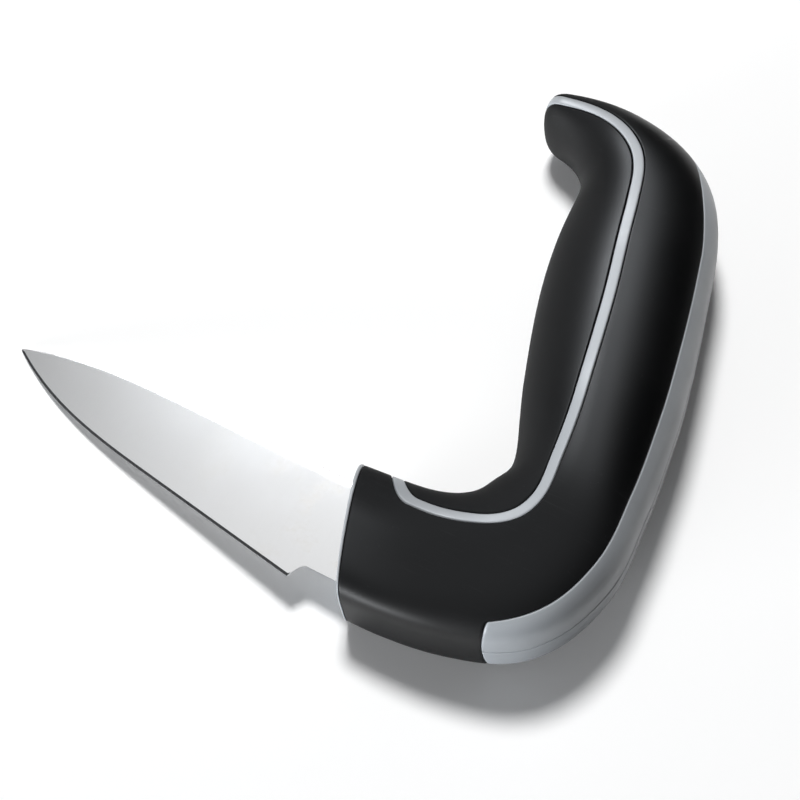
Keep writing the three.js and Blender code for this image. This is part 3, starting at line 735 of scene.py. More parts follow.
@dataclass
class HardCore:
    """The two light halves of the hard core: inner body, loop, back band and front flange."""

    seams: Seams
    finish: bpy.types.Material
    loop_half: float = 1.35
    edge_round: float = 0.3
    root: float = 2.7
    bed: float = 2.4
    parting: float = 0.09
    parting_dip: float = 0.22
    parting_reach: float = 0.55
    settle: float = 0.08
    flange: float = 0.65
    flange_proud: float = -0.02
    flange_round: float = 0.3
    slot_half: float = 0.95
    slot_top: float = 15.3
    slot_bottom: float = -9.0
    slot_lip: float = 0.2
    flange_foot: float = 0.05
    body_end_turn: float = math.radians(80.0)
    body_rows: int = 70
    body_end_rows: int = 8
    body_columns: int = 29
    loop_columns: int = 7
    band_columns: int = 22
    under_columns: int = 4
    slot_columns: int = 4
    rim_columns: int = 97
    rim_steps: int = 6
    face_rings: int = 8

    def parted(self, points: Array) -> Array:
        """Keeps a half clear of the parting plane: z becomes the root of z² plus the gap squared."""
        apart = points.copy()
        apart[..., 2] = np.sqrt(points[..., 2] ** 2 + self.parting**2)
        return apart

    def dip(self, points: Array) -> Array:
        """How far the skin dips toward the parting line: a parabola over a short reach."""
        share = np.clip(1 - np.abs(points[..., 2]) / self.parting_reach, 0.0, 1.0)
        return self.parting_dip * share**2

    def add_loop(self, weave: Weave) -> None:
        """Loop round the finger pad: a bar with rounded top edges, carried along its seam."""
        form = self.seams.form
        back, inset = rolled_edge(self.edge_round, self.root)
        side = self.loop_half - back
        top = np.linspace(-1.0, 1.0, self.loop_columns + 2)[1:-1] * (self.loop_half - self.edge_round)
        margins = np.concatenate([-side[::-1], top, side])
        depths = np.concatenate([inset[::-1], np.zeros_like(top), inset])
        lines = [self.seams.loop(m) for m in margins]
        flat = np.stack([form.line(each, d) for each, d in zip(lines, depths)], axis=1)
        dips = self.dip(flat)
        layers = [
            form.line(each, self.settle + d + dips[:, k]) for k, (each, d) in enumerate(zip(lines, depths))
        ]
        weave.tube(self.parted(np.stack(layers, axis=1)))

    def add_band(self, weave: Weave) -> None:
        """Half of the back band: skin from the parting line to a rolled edge, and its under side."""
        form, plan = self.seams.form, self.seams.plan
        first, last = plan.band_first, plan.band_last + 2
        back, inset = rolled_edge(self.edge_round, self.root)
        shares = eased_shares(self.band_columns)
        line = self.seams.band(-self.edge_round).rows(first, last)
        middle = line.turned_to(math.pi)
        flat = form.between(middle, line, shares)
        dips = self.dip(flat)
        top = form.between(middle, line, shares, self.settle + dips)
        edges = [self.seams.band(-b).rows(first, last) for b in back[1:]]
        rolled = np.stack([form.line(each, self.settle + d) for each, d in zip(edges, inset[1:])], axis=1)
        foot = self.seams.band(0.0).rows(first, last)
        inward = np.linspace(0.0, 1.0, self.under_columns + 1)[1:]
        under = form.between(foot, foot.turned_to(math.pi), inward, self.root + self.settle)
        weave.tube(self.parted(np.concatenate([top, rolled, under], axis=1)))

    def add_inner_body(self, weave: Weave) -> None:
        """Inner body under the covers: half of the handle set in by their thickness."""
        form = self.seams.form
        at = np.linspace(form.front_at + self.flange / 2, form.straight, self.body_rows)
        turn = np.linspace(0.0, self.body_end_turn, self.body_end_rows + 1)[1:]
        rows_at = np.concatenate([at, np.full_like(turn, form.straight)])
        rows_turn = np.concatenate([np.zeros_like(at), turn])
        line = SkinLine(rows_at, rows_turn, np.zeros_like(rows_at))
        shares = np.linspace(0.0, 1.0, self.body_columns)
        grid = form.between(line, line.turned_to(math.pi), shares, self.bed)
        weave.tube(self.parted(grid))

    def add_flange(self, weave: Weave) -> None:
        """Front flange: a plate with rounded rims round the blade's slot, as a profile carried round.

        At each angle the profile runs from the slot's wall, over the front face, round the rim and
        down to the back face. The slot's wall is where a ray at that angle leaves a rectangle.
        """
        form = self.seams.form
        at0, back = form.front_at, form.front_at + self.flange
        heading = form.heading(np.array([at0]))[0]
        mid_y = float(np.interp(at0, form.path[0], form.path[2]))
        finger = (self.slot_top - mid_y) / math.cos(heading)
        away = (mid_y - self.slot_bottom) / math.cos(heading)
        corner_a = math.atan2(self.slot_half, finger)
        corner_b = math.pi - math.atan2(self.slot_half, away)
        angle = np.concatenate([
            np.linspace(0.0, corner_a, self.slot_columns, endpoint=False),
            corner_a + (corner_b - corner_a) * eased_shares(self.rim_columns),
            np.linspace(corner_b, math.pi, self.slot_columns)[1:],
        ])
        reach = np.where(np.cos(angle) > 0, finger, away)
        across = np.abs(np.cos(angle)) / reach
        upward = np.abs(np.sin(angle)) / self.slot_half
        wall = 1 / np.maximum(np.maximum(across, upward), 1e-9)
        turns = np.linspace(0.0, QUARTER, self.rim_steps)
        r, lip, rim_foot = self.flange_round, self.slot_lip, self.flange_foot
        rows = [(0.0, 0.0, back), (0.0, 0.0, at0 + lip), (0.0, lip, at0)]
        rows += [(share, 0.0, at0) for share in np.linspace(0.0, 1.0, self.face_rings + 2)[1:-1]]
        rows += [(1.0, -r * (1 - math.sin(t)), at0 + r * (1 - math.cos(t))) for t in turns]
        rows += [(1.0, 0.0, back - rim_foot), (1.0, -rim_foot, back)]
        layers = []
        for share, extra, at in rows:
            outline, limit = form.section(np.full_like(angle, at), angle, -self.flange_proud)
            radius = wall + (outline - wall) * share + extra
            depth, z = -radius * np.cos(angle), radius * np.sin(angle)
            layers.append(form.placed(np.full_like(angle, at), depth, z, limit))
        weave.tube(self.parted(np.stack(layers, axis=1)))

    def half(self, side: Side) -> bpy.types.Object:
        """One half of the core, with everything that it carries."""
        name = f"core_{side.name.lower()}"
        weave = Weave(name)
        self.add_inner_body(weave)
        self.add_loop(weave)
        self.add_band(weave)
        self.add_flange(weave)
        sign = np.array([1.0, 1.0, float(side.value)])
        weave.points = [points * sign for points in weave.points]
        return seated(weave.piece(self.finish, weld=2e-4), "core_plastic", f"{name}_shell")


@dataclass
class Blade:
    """Blade with flat cheeks, a ground edge, the heel's notch and the tang inside the handle."""

    steel: bpy.types.Material
    # ground: finish of the bevel, ground steel whose darker colour is painted shade
    ground: bpy.types.Material
    reach: float = 98.97
    tip_rise: float = 8.9
    spine_height: float = 15.1
    curve_length: float = 50.0
    spine_power: float = 2.8
    edge_power: float = 3.2
    heel_at: float = 6.2
    heel_depth: float = 13.0
    edge_slope: float = 0.154
    notch_length: float = 2.9
    ricasso_depth: float = 8.8
    tip_blunt: float = 0.5
    spine_half: float = 0.8
    cheek_taper: float = 0.0185
    tip_taper: float = 0.0044
    bevel: float = 0.66
    edge_half: float = 0.05
    spine_round: float = 0.22
    heel_ramp: float = 0.25
    stock_at: float = 9.0
    stock_blend: float = 2.0
    shoulder_at: float = 16.0
    shoulder_slope: float = 2.0
    tang_end: float = 44.0
    tang_top: float = 9.5
    tang_bottom: float = -1.5
    corner_of_cheek: float = 0.3
    corner_of_height: float = 0.2
    tip_rows: int = 110
    tip_crowding: float = 1.5
    edge_rows: int = 50
    notch_rows: int = 28
    notch_crowding: float = 1.4
    stem_rows: int = 12
    corner_columns: int = 5
    cheek_columns: int = 16
    bevel_columns: int = 3

    def outline(self, x: Array) -> tuple[Array, Array]:
        """Heights of the spine and of the lower outline.

        Both are straight near the handle and bend into the tip by a power of the distance. Behind
        the heel the lower outline rises to the ricasso as a quarter sine, and inside the handle
        both step in to the tang.

        Args:
            x: Places along the blade, below 0 in front of the handle.

        Returns:
            Upper and lower heights.
        """
        curved = np.clip((-x - (self.reach - self.curve_length)) / self.curve_length, 0.0, 1.0)
        tip = self.tip_rise + self.tip_blunt / 2
        top = self.spine_height - (self.spine_height - tip) * curved**self.spine_power
        low_tip = self.tip_rise - self.tip_blunt / 2
        straight = self.edge_slope * (-x - self.heel_at) - self.heel_depth
        far = self.edge_slope * (self.reach - self.heel_at) - self.heel_depth
        edge = straight + (low_tip - far) * curved**self.edge_power
        share = np.clip((x + self.heel_at) / self.notch_length, 0.0, 1.0)
        notch = (self.heel_depth - self.ricasso_depth) * np.sin(share * QUARTER) - self.heel_depth
        bottom = np.where(x > -self.heel_at, notch, edge)
        inside = np.clip((x - self.shoulder_at) / self.shoulder_slope, 0.0, 1.0)
        return top + (self.tang_top - top) * inside, bottom + (self.tang_bottom - bottom) * inside

    def cheek(self, x: Array, y: Array) -> Array:
        """Half thickness: flat cheeks that thin toward the edge and the tip, full stock inside."""
        thinned = self.cheek_taper * (y - self.spine_height) + self.tip_taper * np.minimum(x, 0.0)
        flat = self.spine_half + thinned
        inside = np.clip((x - self.stock_at) / self.stock_blend, 0.0, 1.0)
        return flat + (self.spine_half - flat) * inside

    def rows(self) -> Array:
        """Places of the rings along the blade, closer together at the tip and the notch."""
        tip = self.curve_length * np.linspace(0.0, 1.0, self.tip_rows) ** self.tip_crowding - self.reach
        straight = np.linspace(tip[-1], -self.heel_at, self.edge_rows)[1:]
        shares = np.linspace(0.0, 1.0, self.notch_rows)[1:]
        notch = shares**self.notch_crowding * self.notch_length - self.heel_at
        stem = np.linspace(notch[-1], self.stock_at, self.stem_rows)[1:]
        inside = [self.stock_at + self.stock_blend, self.shoulder_at, self.shoulder_at + self.shoulder_slope]
        return np.concatenate([tip, straight, notch, stem, inside, [self.tang_end]])

    def piece(self) -> bpy.types.Object:
        """Blade as rings across it: spine with rounded corners, cheeks, ground bevel and edge.

        Returns:
            The blade, with its bevel in the ground finish and its shoulder kept crisp.
        """
        x = self.rows()
        top, bottom = self.outline(x)
        shoulder = np.minimum(bottom + self.bevel, (top + bottom) / 2)
        room = np.minimum(self.corner_of_cheek * self.cheek(x, top), self.corner_of_height * (top - bottom))
        corner = np.minimum(self.spine_round, room)
        turn = np.linspace(0.0, QUARTER, self.corner_columns)
        upper_y = top[:, None] - corner[:, None] * (1 - np.cos(turn))
        upper_z = self.cheek(x, top)[:, None] - corner[:, None] * (1 - np.sin(turn))
        share = np.linspace(0.0, 1.0, self.cheek_columns)[1:]
        cheek_y = upper_y[:, -1:] + (shoulder[:, None] - upper_y[:, -1:]) * share
        cheek_z = self.cheek(x[:, None], cheek_y)
        ramp = np.clip((x + self.heel_at) / self.heel_ramp, 0.0, 1.0)
        foot = self.edge_half + (self.cheek(x, bottom) - self.edge_half) * ramp
        fall = np.linspace(0.0, 1.0, self.bevel_columns + 1)[1:]
        bevel_y = shoulder[:, None] + (bottom - shoulder)[:, None] * fall
        bevel_z = cheek_z[:, -1:] + (foot[:, None] - cheek_z[:, -1:]) * fall
        y = np.concatenate([upper_y, cheek_y, bevel_y], axis=1)
        z = np.concatenate([upper_z, cheek_z, bevel_z], axis=1)
        ring_y = np.concatenate([y, y[:, ::-1]], axis=1)
        ring_z = np.concatenate([z, -z[:, ::-1]], axis=1)
        ring_x = np.repeat(x[:, None], ring_y.shape[1], axis=1)
        mark = np.full(y.shape[1], Mark.CHEEK.value)
        mark[-self.bevel_columns - 1] = Mark.SHOULDER.value
        mark[-self.bevel_columns : -1] = Mark.BEVEL.value
        mark[-1] = Mark.EDGE.value
        weave = Weave("blade_and_tang")
        weave.tube(np.stack([ring_x, ring_y, ring_z], axis=-1), np.append(mark, mark[::-1]))
        made = weave.piece(self.steel, weld=1e-4)
        self.dress(made, ramp_end=self.heel_ramp - self.heel_at)
        return seated(made, "blade_steel", "blade")

    def dress(self, made: bpy.types.Object, ramp_end: float) -> None:
        """Keeps the shoulder and the edge crisp and gives the bevel its ground finish, darkened as painted
        shade.

        Args:
            made: The blade, with each column's mark on its points.
            ramp_end: Place behind the heel where the bevel has run out.
        """
        mesh = made.data
        mark = np.empty(len(mesh.vertices), dtype=np.float32)
        mesh.attributes["mark"].data.foreach_get("value", mark)
        ends = np.empty(2 * len(mesh.edges), dtype=np.int32)
        mesh.edges.foreach_get("vertices", ends)
        pair = mark[ends.reshape(-1, 2)]
        crisp = (pair[:, 0] == pair[:, 1]) & np.isin(pair[:, 0], (Mark.SHOULDER.value, Mark.EDGE.value))
        sharp = mesh.attributes.new("sharp_edge", "BOOLEAN", "EDGE")
        sharp.data.foreach_set("value", crisp)
        # The bevel's faces get the darker ground finish, which is painted shade.
        mesh.materials.append(self.ground)
        corners = np.empty(len(mesh.loops), dtype=np.int32)
        mesh.loops.foreach_get("vertex_index", corners)
        starts = np.empty(len(mesh.polygons), dtype=np.int32)
        mesh.polygons.foreach_get("loop_start", starts)
        on_bevel = np.maximum.reduceat((mark[corners] == Mark.BEVEL.value).astype(np.int32), starts)
        place = np.empty(3 * len(mesh.polygons), dtype=np.float32)
        mesh.polygons.foreach_get("center", place)
        x = LayDown().knife_millimetres(place.reshape(-1, 3))[:, 0]
        mesh.polygons.foreach_set("material_index", on_bevel * (x < ramp_end))
        mesh.update()


class Bench:
    """A node tree being filled, with short calls for the nodes that the finishes use."""

    def __init__(self, tree: bpy.types.NodeTree) -> None:
        """Empties the tree and keeps it."""
        self.tree = tree
        tree.nodes.clear()

    def node(self, kind: str, **settings: object) -> bpy.types.Node:
        """Adds a node and sets its properties."""
        made = self.tree.nodes.new(kind)
        for key, value in settings.items():
            setattr(made, key, value)
        return made

    def join(self, source: Socket, target: Socket) -> None:
        """Links two sockets."""
        self.tree.links.new(source, target)

    def math(self, kind: str, first: object, second: object = 0.0, clamp: bool = False) -> Socket:
        """Result of one sum on two sockets or numbers."""
        made = self.node("ShaderNodeMath", operation=kind, use_clamp=clamp)
        for socket, value in zip(made.inputs, (first, second)):
            if isinstance(value, Socket):
                self.join(value, socket)
            else:
                socket.default_value = value
        return made.outputs[0]

    def place(self, turn: Triple = (0, 0, 0), scale: Triple = (1, 1, 1), at: Triple = (0, 0, 0)) -> Socket:
        """Object coordinates, shifted, turned and scaled."""
        coords = self.node("ShaderNodeTexCoord")
        mapping = self.node("ShaderNodeMapping")
        mapping.inputs["Location"].default_value = at
        mapping.inputs["Rotation"].default_value = turn
        mapping.inputs["Scale"].default_value = scale
        self.join(coords.outputs["Object"], mapping.inputs["Vector"])
        return mapping.outputs["Vector"]

    def noise(self, where: Socket, scale: float, detail: float = 4.0, rough: float = 0.55) -> Socket:
        """Value of a noise field."""
        made = self.node("ShaderNodeTexNoise")
        made.inputs["Scale"].default_value = scale
        made.inputs["Detail"].default_value = detail
        made.inputs["Roughness"].default_value = rough
        self.join(where, made.inputs["Vector"])
        return made.outputs["Fac"]

    def ramp(self, value: Socket, low: float, high: float, to: Span = (0.0, 1.0)) -> Socket:
        """Value moved smoothly from one range to another and held at its ends."""
        made = self.node("ShaderNodeMapRange", interpolation_type="SMOOTHSTEP", clamp=True)
        for socket, number in zip(("From Min", "From Max", "To Min", "To Max"), (low, high, *to)):
            made.inputs[socket].default_value = number
        self.join(value, made.inputs["Value"])
        return made.outputs["Result"]

    def blend(self, share: Socket, first: object, second: object) -> Socket:
        """Colour between two colours."""
        made = self.node("ShaderNodeMix", data_type="RGBA")
        self.join(share, made.inputs["Factor"])
        for name, value in ((6, first), (7, second)):
            socket = made.inputs[name]
            if isinstance(value, Socket):
                self.join(value, socket)
            else:
                socket.default_value = (*value, 1.0)
        return made.outputs[2]

    def split(self, vector: Socket) -> tuple[Socket, Socket, Socket]:
        """The x, y and z of a vector."""
        made = self.node("ShaderNodeSeparateXYZ")
        self.join(vector, made.inputs["Vector"])
        return tuple(made.outputs)

    def bump(self, height: Socket, strength: float, distance: float) -> Socket:
        """Normal of a surface roughened by a height."""
        made = self.node("ShaderNodeBump")
        made.inputs["Strength"].default_value = strength
        made.inputs["Distance"].default_value = distance
        self.join(height, made.inputs["Height"])
        return made.outputs["Normal"]


def new_material(name: str) -> tuple[bpy.types.Material, Bench, bpy.types.Node]:
    """A material with an empty bench and its shader joined to the output."""
    material = bpy.data.materials.new(name)
    material.use_nodes = True
    bench = Bench(material.node_tree)
    shader = bench.node("ShaderNodeBsdfPrincipled")
    output = bench.node("ShaderNodeOutputMaterial")
    bench.join(shader.outputs["BSDF"], output.inputs["Surface"])
    return material, bench, shader


@dataclass(frozen=True)
class SoftBlack:
    """Soft black moulding: satin where the palm has polished the grip, matte elsewhere, faint scuffs.

    The polish is a ramp up the grip (y of the piece) times a ramp from the finger side toward the
    back (x plus a share of y), or a lesser one low on the fore part's front.
    """

    deep: Colour = (0.0016, 0.0017, 0.0019)
    worn: Colour = (0.0026, 0.0027, 0.0030)
    scuffed: Colour = (0.022, 0.023, 0.024)
    satin: float = 0.37
    matte: float = 0.68
    unevenness: float = 0.04
    specular: float = 0.27
    scuff_share: float = 0.32
    dust_share: float = 0.2
    lean: float = 0.3
    lean_from: float = 0.02
    back: Span = (0.028, 0.046)
    grip: Span = (-0.044, -0.010)
    front: Span = (-0.058, -0.050)
    front_low: Span = (0.021, 0.026)
    front_polish: float = 0.6

    def polish(self, bench: Bench, here: Socket) -> Socket:
        """Share of polish, by the place on the piece in metres."""
        x, y, z = bench.split(here)
        lean = bench.math("MULTIPLY", bench.math("SUBTRACT", y, self.lean_from), self.lean)
        back = bench.ramp(bench.math("ADD", x, lean), *self.back)
        grip = bench.math("MULTIPLY", bench.ramp(y, *self.grip), back)
        low = bench.ramp(z, *self.front_low, (1.0, 0.0))
        front = bench.math("MULTIPLY", bench.ramp(y, *self.front, (self.front_polish, 0.0)), low)
        return bench.math("MAXIMUM", grip, front)

    def material(self) -> bpy.types.Material:
        """Builds the material."""
        made, bench, shader = new_material("soft_black")
        here = bench.place()
        cloud = bench.ramp(bench.noise(here, 38.0, 5.0), 0.35, 0.68)
        grain = bench.noise(here, 5200.0, 2.0, 0.6)
        strokes = bench.noise(bench.place((0.1, 0.2, 0.9), (60.0, 1500.0, 240.0)), 1.0, 3.0, 0.6)
        patches = bench.ramp(bench.noise(here, 24.0, 2.0), 0.50, 0.66)
        scuff = bench.math("MULTIPLY", bench.ramp(strokes, 0.60, 0.76), patches)
        dust = bench.ramp(bench.noise(here, 900.0, 1.0, 0.4), 0.74, 0.80)
        dusty = bench.math("MULTIPLY", dust, self.dust_share)
        marks = bench.math("ADD", bench.math("MULTIPLY", scuff, self.scuff_share), dusty, True)
        colour = bench.blend(marks, bench.blend(cloud, self.deep, self.worn), self.scuffed)
        bench.join(colour, shader.inputs["Base Color"])
        rough = bench.ramp(self.polish(bench, here), 0.0, 1.0, (self.matte, self.satin))
        uneven = bench.math("MULTIPLY", bench.math("ADD", cloud, scuff), self.unevenness)
        bench.join(bench.math("ADD", rough, uneven), shader.inputs["Roughness"])
        height = bench.math("ADD", grain, bench.math("MULTIPLY", scuff, -0.4))
        bench.join(bench.bump(height, 0.10, 0.00004), shader.inputs["Normal"])
        shader.inputs["Specular IOR Level"].default_value = self.specular
        return made


@dataclass(frozen=True)
class CorePlastic:
    """Light blue-grey hard moulding: even satin with a fine moulded grain."""

    light: Colour = (0.338, 0.356, 0.375)
    shade: Colour = (0.316, 0.334, 0.353)
    satin: float = 0.36
    matte: float = 0.42
    specular: float = 0.5

    def material(self) -> bpy.types.Material:
        """Builds the material."""
        made, bench, shader = new_material("core_plastic")
        here = bench.place()
        cloud = bench.ramp(bench.noise(here, 55.0, 4.0), 0.36, 0.66)
        grain = bench.noise(here, 3600.0, 2.0, 0.6)
        bench.join(bench.blend(cloud, self.shade, self.light), shader.inputs["Base Color"])
        bench.join(bench.ramp(cloud, 0.0, 1.0, (self.matte, self.satin)), shader.inputs["Roughness"])
        bench.join(bench.bump(grain, 0.08, 0.00004), shader.inputs["Normal"])
        shader.inputs["Specular IOR Level"].default_value = self.specular
        return made


@dataclass(frozen=True)
class SatinSteel:
    """Satin blade steel: grinding lines across the blade, water marks near the handle."""

    bright: Colour = (0.806, 0.808, 0.810)
    dull: Colour = (0.772, 0.774, 0.777)
    stained: Colour = (0.690, 0.666, 0.628)
    stained_from: Span = (-0.035, 0.012)
    smooth: float = 0.118
    rough: float = 0.130

    def material(self) -> bpy.types.Material:
        """Builds the material."""
        made, bench, shader = new_material("satin_steel")
        here = bench.place()
        lines = bench.noise(bench.place((0.0, 0.11, 0.03), (2600.0, 26.0, 26.0)), 1.0, 4.0, 0.65)
        cloud = bench.noise(here, 46.0, 5.0, 0.6)
        blot = bench.ramp(bench.noise(bench.place(at=(0.4, 0.1, 0.0)), 95.0, 5.0, 0.65), 0.50, 0.72)
        near = bench.ramp(bench.split(here)[0], *self.stained_from)
        stain = bench.math("MULTIPLY", blot, bench.math("ADD", bench.math("MULTIPLY", near, 0.6), 0.05))
        plain = bench.blend(bench.ramp(cloud, 0.30, 0.70), self.dull, self.bright)
        lined = bench.blend(bench.ramp(lines, 0.35, 0.65, (0.0, 0.35)), plain, self.dull)
        bench.join(bench.blend(stain, lined, self.stained), shader.inputs["Base Color"])
        cloudy = bench.ramp(cloud, 0.30, 0.70, (self.rough, self.smooth))
        gloss = bench.math("ADD", cloudy, bench.ramp(lines, 0.3, 0.7, (0.0, 0.006)))
        bench.join(bench.math("ADD", gloss, bench.math("MULTIPLY", stain, 0.03)), shader.inputs["Roughness"])
        bench.join(bench.bump(lines, 0.012, 0.00002), shader.inputs["Normal"])
        shader.inputs["Metallic"].default_value = 1.0
        return made


@dataclass(frozen=True)
class GroundSteelPaintedShade:
    """Freshly ground steel of the cutting edge: smoother, with fine lines across the bevel; its colour is
    darker than the blade's as painted shade on the bevel.
    """

    # Both colours are well below the blade's steel: painted shade for the dark line of the edge bevel.
    bright: Colour = (0.62, 0.63, 0.64)
    dull: Colour = (0.46, 0.47, 0.48)

    def material(self) -> bpy.types.Material:
        """Builds the material."""
        made, bench, shader = new_material("ground_steel_painted_shade")
        lines = bench.noise(bench.place((0.0, 0.11, 0.25), (5200.0, 60.0, 60.0)), 1.0, 3.0, 0.6)
        colour = bench.blend(bench.ramp(lines, 0.3, 0.7), self.dull, self.bright)
        bench.join(colour, shader.inputs["Base Color"])
        bench.join(bench.ramp(lines, 0.3, 0.7, (0.13, 0.22)), shader.inputs["Roughness"])
        bench.join(bench.bump(lines, 0.06, 0.00001), shader.inputs["Normal"])
        shader.inputs["Metallic"].default_value = 1.0
        return made


@dataclass(frozen=True)
class TurnedSteel:
    """Turned steel of the tang pins, hidden in the core: fine rings and a dull skin."""

    bright: Colour = (0.55, 0.56, 0.57)
    dull: Colour = (0.36, 0.37, 0.38)

    def material(self) -> bpy.types.Material:
        """Builds the material."""
        made, bench, shader = new_material("turned_steel")
        rings = bench.noise(bench.place(scale=(40.0, 40.0, 4200.0)), 1.0, 3.0, 0.6)
        cloud = bench.noise(bench.place(), 900.0, 3.0)
        colour = bench.blend(bench.ramp(cloud, 0.3, 0.7), self.dull, self.bright)
        bench.join(colour, shader.inputs["Base Color"])
        bench.join(bench.ramp(rings, 0.3, 0.7, (0.28, 0.46)), shader.inputs["Roughness"])
        bench.join(bench.bump(rings, 0.1, 0.00002), shader.inputs["Normal"])
        shader.inputs["Metallic"].default_value = 1.0
        return made


@dataclass(frozen=True)
class Lamp:
    """An oval area lamp that looks at the knife.

    Attributes:
        name: Name of the lamp.
        toward: Direction from the knife to the lamp.
        away: Distance in metres.
        width: Width in metres.
        height: Height in metres.
        level: Light on a surface that faces the lamp, where 1 shows a colour as written.
        tint: Colour of the light.
        lights: What the lamp lights.
    """

    name: str
    toward: Triple
    away: float
    width: float
    height: float
    level: float
    tint: Colour = (1.0, 1.0, 1.0)
    lights: Lights = Lights.ALL

    def hang(self) -> bpy.types.Object:
        """Hangs the lamp, with the power that gives its level: level times (pi times distance) squared."""
        data = bpy.data.lights.new(self.name, "AREA")
        data.shape = "ELLIPSE"
        data.size, data.size_y = self.width, self.height
        data.energy = self.level * (math.pi * self.away) ** 2
        data.color = self.tint
        made = bpy.data.objects.new(self.name, data)
        toward = Vector(self.toward).normalized()
        made.location = toward * self.away
        made.rotation_mode = "QUATERNION"
        made.rotation_quaternion = toward.to_track_quat("Z", "Y")
        made.visible_glossy = self.lights is not Lights.MATTE
        made.visible_diffuse = self.lights is not Lights.SHEEN
        bpy.context.scene.collection.objects.link(made)
        return made


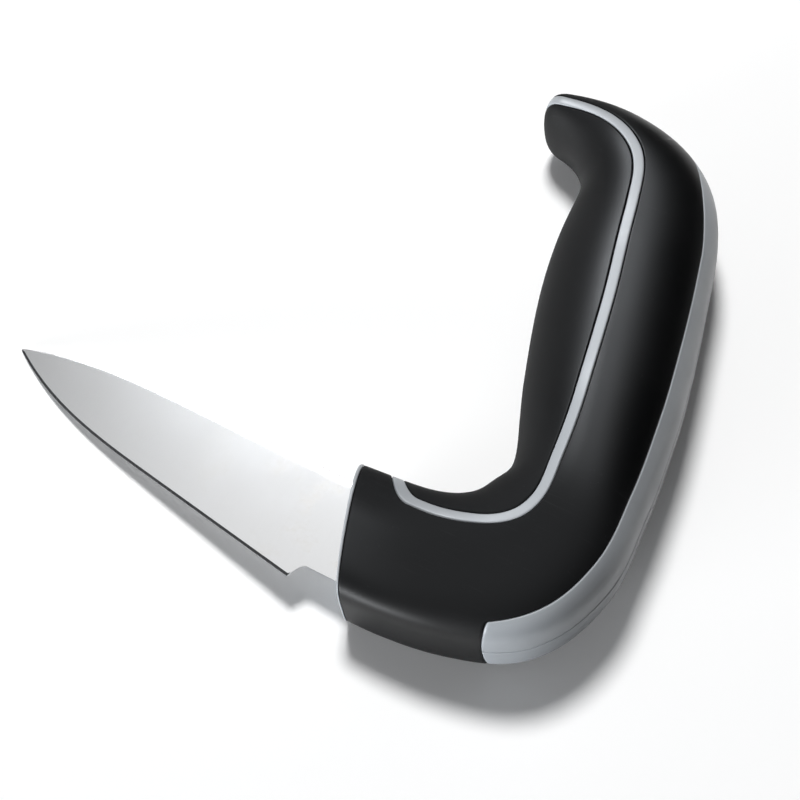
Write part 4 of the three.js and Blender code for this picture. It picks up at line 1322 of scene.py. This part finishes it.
@dataclass
class Studio:
    """White table, a key lamp behind on the left with its sheen, a low cool fill, and the camera."""

    table_white: float = 0.97
    table_bounce: float = 0.30
    table_lift: float = 0.055
    table_half: float = 3.0
    table_points: int = 9
    wall: Colour = (0.085, 0.086, 0.088)
    dark_wall: Colour = (0.025, 0.025, 0.026)
    dark_toward: Span = (0.8, 0.6)
    dark_span: Span = (-0.1, 0.6)
    pale_wall: Colour = (0.85, 0.85, 0.85)
    pale_x: tuple[Span, Span] = ((-0.93, -0.46), (-0.30, 0.0))
    pale_y: tuple[Span, Span] = ((0.05, 0.22), (0.45, 0.80))
    least_up: float = 0.05
    key: Lamp = Lamp("key", (-0.27, 0.32, 0.906), 1.8, 0.44, 0.44, 0.93, lights=Lights.MATTE)
    sheen: Lamp = Lamp(
        "sheen", (-0.485, 0.43, 0.762), 1.8, 0.32, 0.32, 0.58, (0.96, 1.0, 1.05), lights=Lights.SHEEN
    )
    fill: Lamp = Lamp("fill", (-0.35, -0.935, 0.06), 1.5, 1.1, 0.16, 1.5, (0.97, 1.0, 1.03))
    aim: Triple = (0.00873, -0.01657, 0.0003)
    azimuth: float = 30.15
    elevation: float = 62.93
    distance: float = 0.554
    lens: float = 100.0

    def shown_to(self, bench: Bench, *rays: Ray) -> Socket:
        """1 for the named kinds of ray and 0 for others."""
        path = bench.node("ShaderNodeLightPath")
        total = path.outputs[rays[0].value]
        for ray in rays[1:]:
            total = bench.math("MAXIMUM", total, path.outputs[ray.value])
        return total

    def table(self) -> bpy.types.Object:
        """Flat white table that keeps the shadow, white where it is seen and duller for bounced light."""
        count = self.table_points
        side = np.linspace(-self.table_half, self.table_half, count)
        points = np.stack(np.meshgrid(side, side, [0.0], indexing="ij"), axis=-1)[:, :, 0]
        mesh = bpy.data.meshes.new("table")
        index = np.arange(count**2).reshape(count, count)
        quads = np.stack([index[:-1, :-1], index[1:, :-1], index[1:, 1:], index[:-1, 1:]], axis=-1)
        mesh.from_pydata(points.reshape(-1, 3), [], quads.reshape(-1, 4).tolist())
        material = bpy.data.materials.new("white_table")
        material.use_nodes = True
        bench = Bench(material.node_tree)
        paper = bench.node("ShaderNodeBsdfDiffuse")
        glow = bench.node("ShaderNodeEmission")
        seen = self.shown_to(bench, Ray.CAMERA, Ray.GLOSSY, Ray.TRANSMISSION)
        colour = bench.blend(seen, (self.table_bounce,) * 3, (self.table_white,) * 3)
        bench.join(colour, paper.inputs["Color"])
        bench.join(bench.math("MULTIPLY", seen, self.table_lift), glow.inputs["Strength"])
        both = bench.node("ShaderNodeAddShader")
        bench.join(paper.outputs[0], both.inputs[0])
        bench.join(glow.outputs[0], both.inputs[1])
        output = bench.node("ShaderNodeOutputMaterial")
        bench.join(both.outputs[0], output.inputs["Surface"])
        mesh.materials.append(material)
        made = bpy.data.objects.new("table", mesh)
        bpy.context.scene.collection.objects.link(made)
        return made

    def surroundings(self) -> None:
        """Room round the table: dim walls, darker behind on the right, and a pale wall in the blade.

        The pale wall is a soft-edged rectangle in x/z and y/z of the direction, brighter toward the
        handle's side. The camera sees plain white.
        """
        world = bpy.data.worlds.new("studio")
        world.use_nodes = True
        bpy.context.scene.world = world
        bench = Bench(world.node_tree)
        coords = bench.node("ShaderNodeTexCoord")
        x, y, z = bench.split(coords.outputs["Generated"])
        up = bench.math("MAXIMUM", z, self.least_up)
        edges = []
        for part, (rise, fall) in ((x, self.pale_x), (y, self.pale_y)):
            slope = bench.math("DIVIDE", part, up)
            risen, fallen = bench.ramp(slope, *rise), bench.ramp(slope, *fall, (1.0, 0.0))
            edges.append(bench.math("MULTIPLY", risen, fallen))
        parts = [bench.math("MULTIPLY", part, share) for part, share in zip((x, y), self.dark_toward)]
        behind = bench.ramp(bench.math("ADD", *parts), *self.dark_span)
        wall = bench.blend(behind, self.wall, self.dark_wall)
        room = bench.blend(bench.math("MULTIPLY", *edges), wall, self.pale_wall)
        light = bench.node("ShaderNodeBackground")
        bench.join(room, light.inputs["Color"])
        white = bench.node("ShaderNodeBackground")
        white.inputs["Color"].default_value = (1.0, 1.0, 1.0, 1.0)
        pick = bench.node("ShaderNodeMixShader")
        bench.join(self.shown_to(bench, Ray.CAMERA, Ray.TRANSMISSION), pick.inputs[0])
        bench.join(light.outputs[0], pick.inputs[1])
        bench.join(white.outputs[0], pick.inputs[2])
        output = bench.node("ShaderNodeOutputWorld")
        bench.join(pick.outputs[0], output.inputs["Surface"])

    def camera(self) -> bpy.types.Object:
        """Camera at the photograph's angle."""
        data = bpy.data.cameras.new("camera")
        data.lens = self.lens
        data.sensor_width = 36.0
        data.clip_start, data.clip_end = 0.01, 50.0
        made = bpy.data.objects.new("camera", data)
        a, e = math.radians(self.azimuth), math.radians(self.elevation)
        back = Vector((math.sin(a) * math.cos(e), -math.cos(a) * math.cos(e), math.sin(e)))
        made.location = Vector(self.aim) + back * self.distance
        made.rotation_mode = "QUATERNION"
        made.rotation_quaternion = back.to_track_quat("Z", "Y")
        bpy.context.scene.collection.objects.link(made)
        bpy.context.scene.camera = made
        return made

    def build(self) -> None:
        """Sets up table, light and camera."""
        bpy.context.scene.view_settings.view_transform = "Standard"
        self.table()
        self.surroundings()
        for lamp in (self.key, self.sheen, self.fill):
            lamp.hang()
        self.camera()


def main() -> None:
    """Builds the studio and the knife's pieces in order."""
    logging.basicConfig(level=logging.INFO, format="%(name)s %(message)s")
    Studio().build()
    seams = Seams()
    cover = SoftCover(seams, SoftBlack().material())
    cover.body()
    cover.pad()
    core = HardCore(seams, CorePlastic().material())
    for side in Side:
        core.half(side)
    Blade(SatinSteel().material(), GroundSteelPaintedShade().material()).piece()
    turned = TurnedSteel().material()
    for name in ("tang_pin_front", "tang_pin_rear"):
        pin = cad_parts[name]
        pin.data.materials.clear()
        pin.data.materials.append(turned)
        LOG.info("%s: carried over", name)


if __name__ == "__main__":
    main()
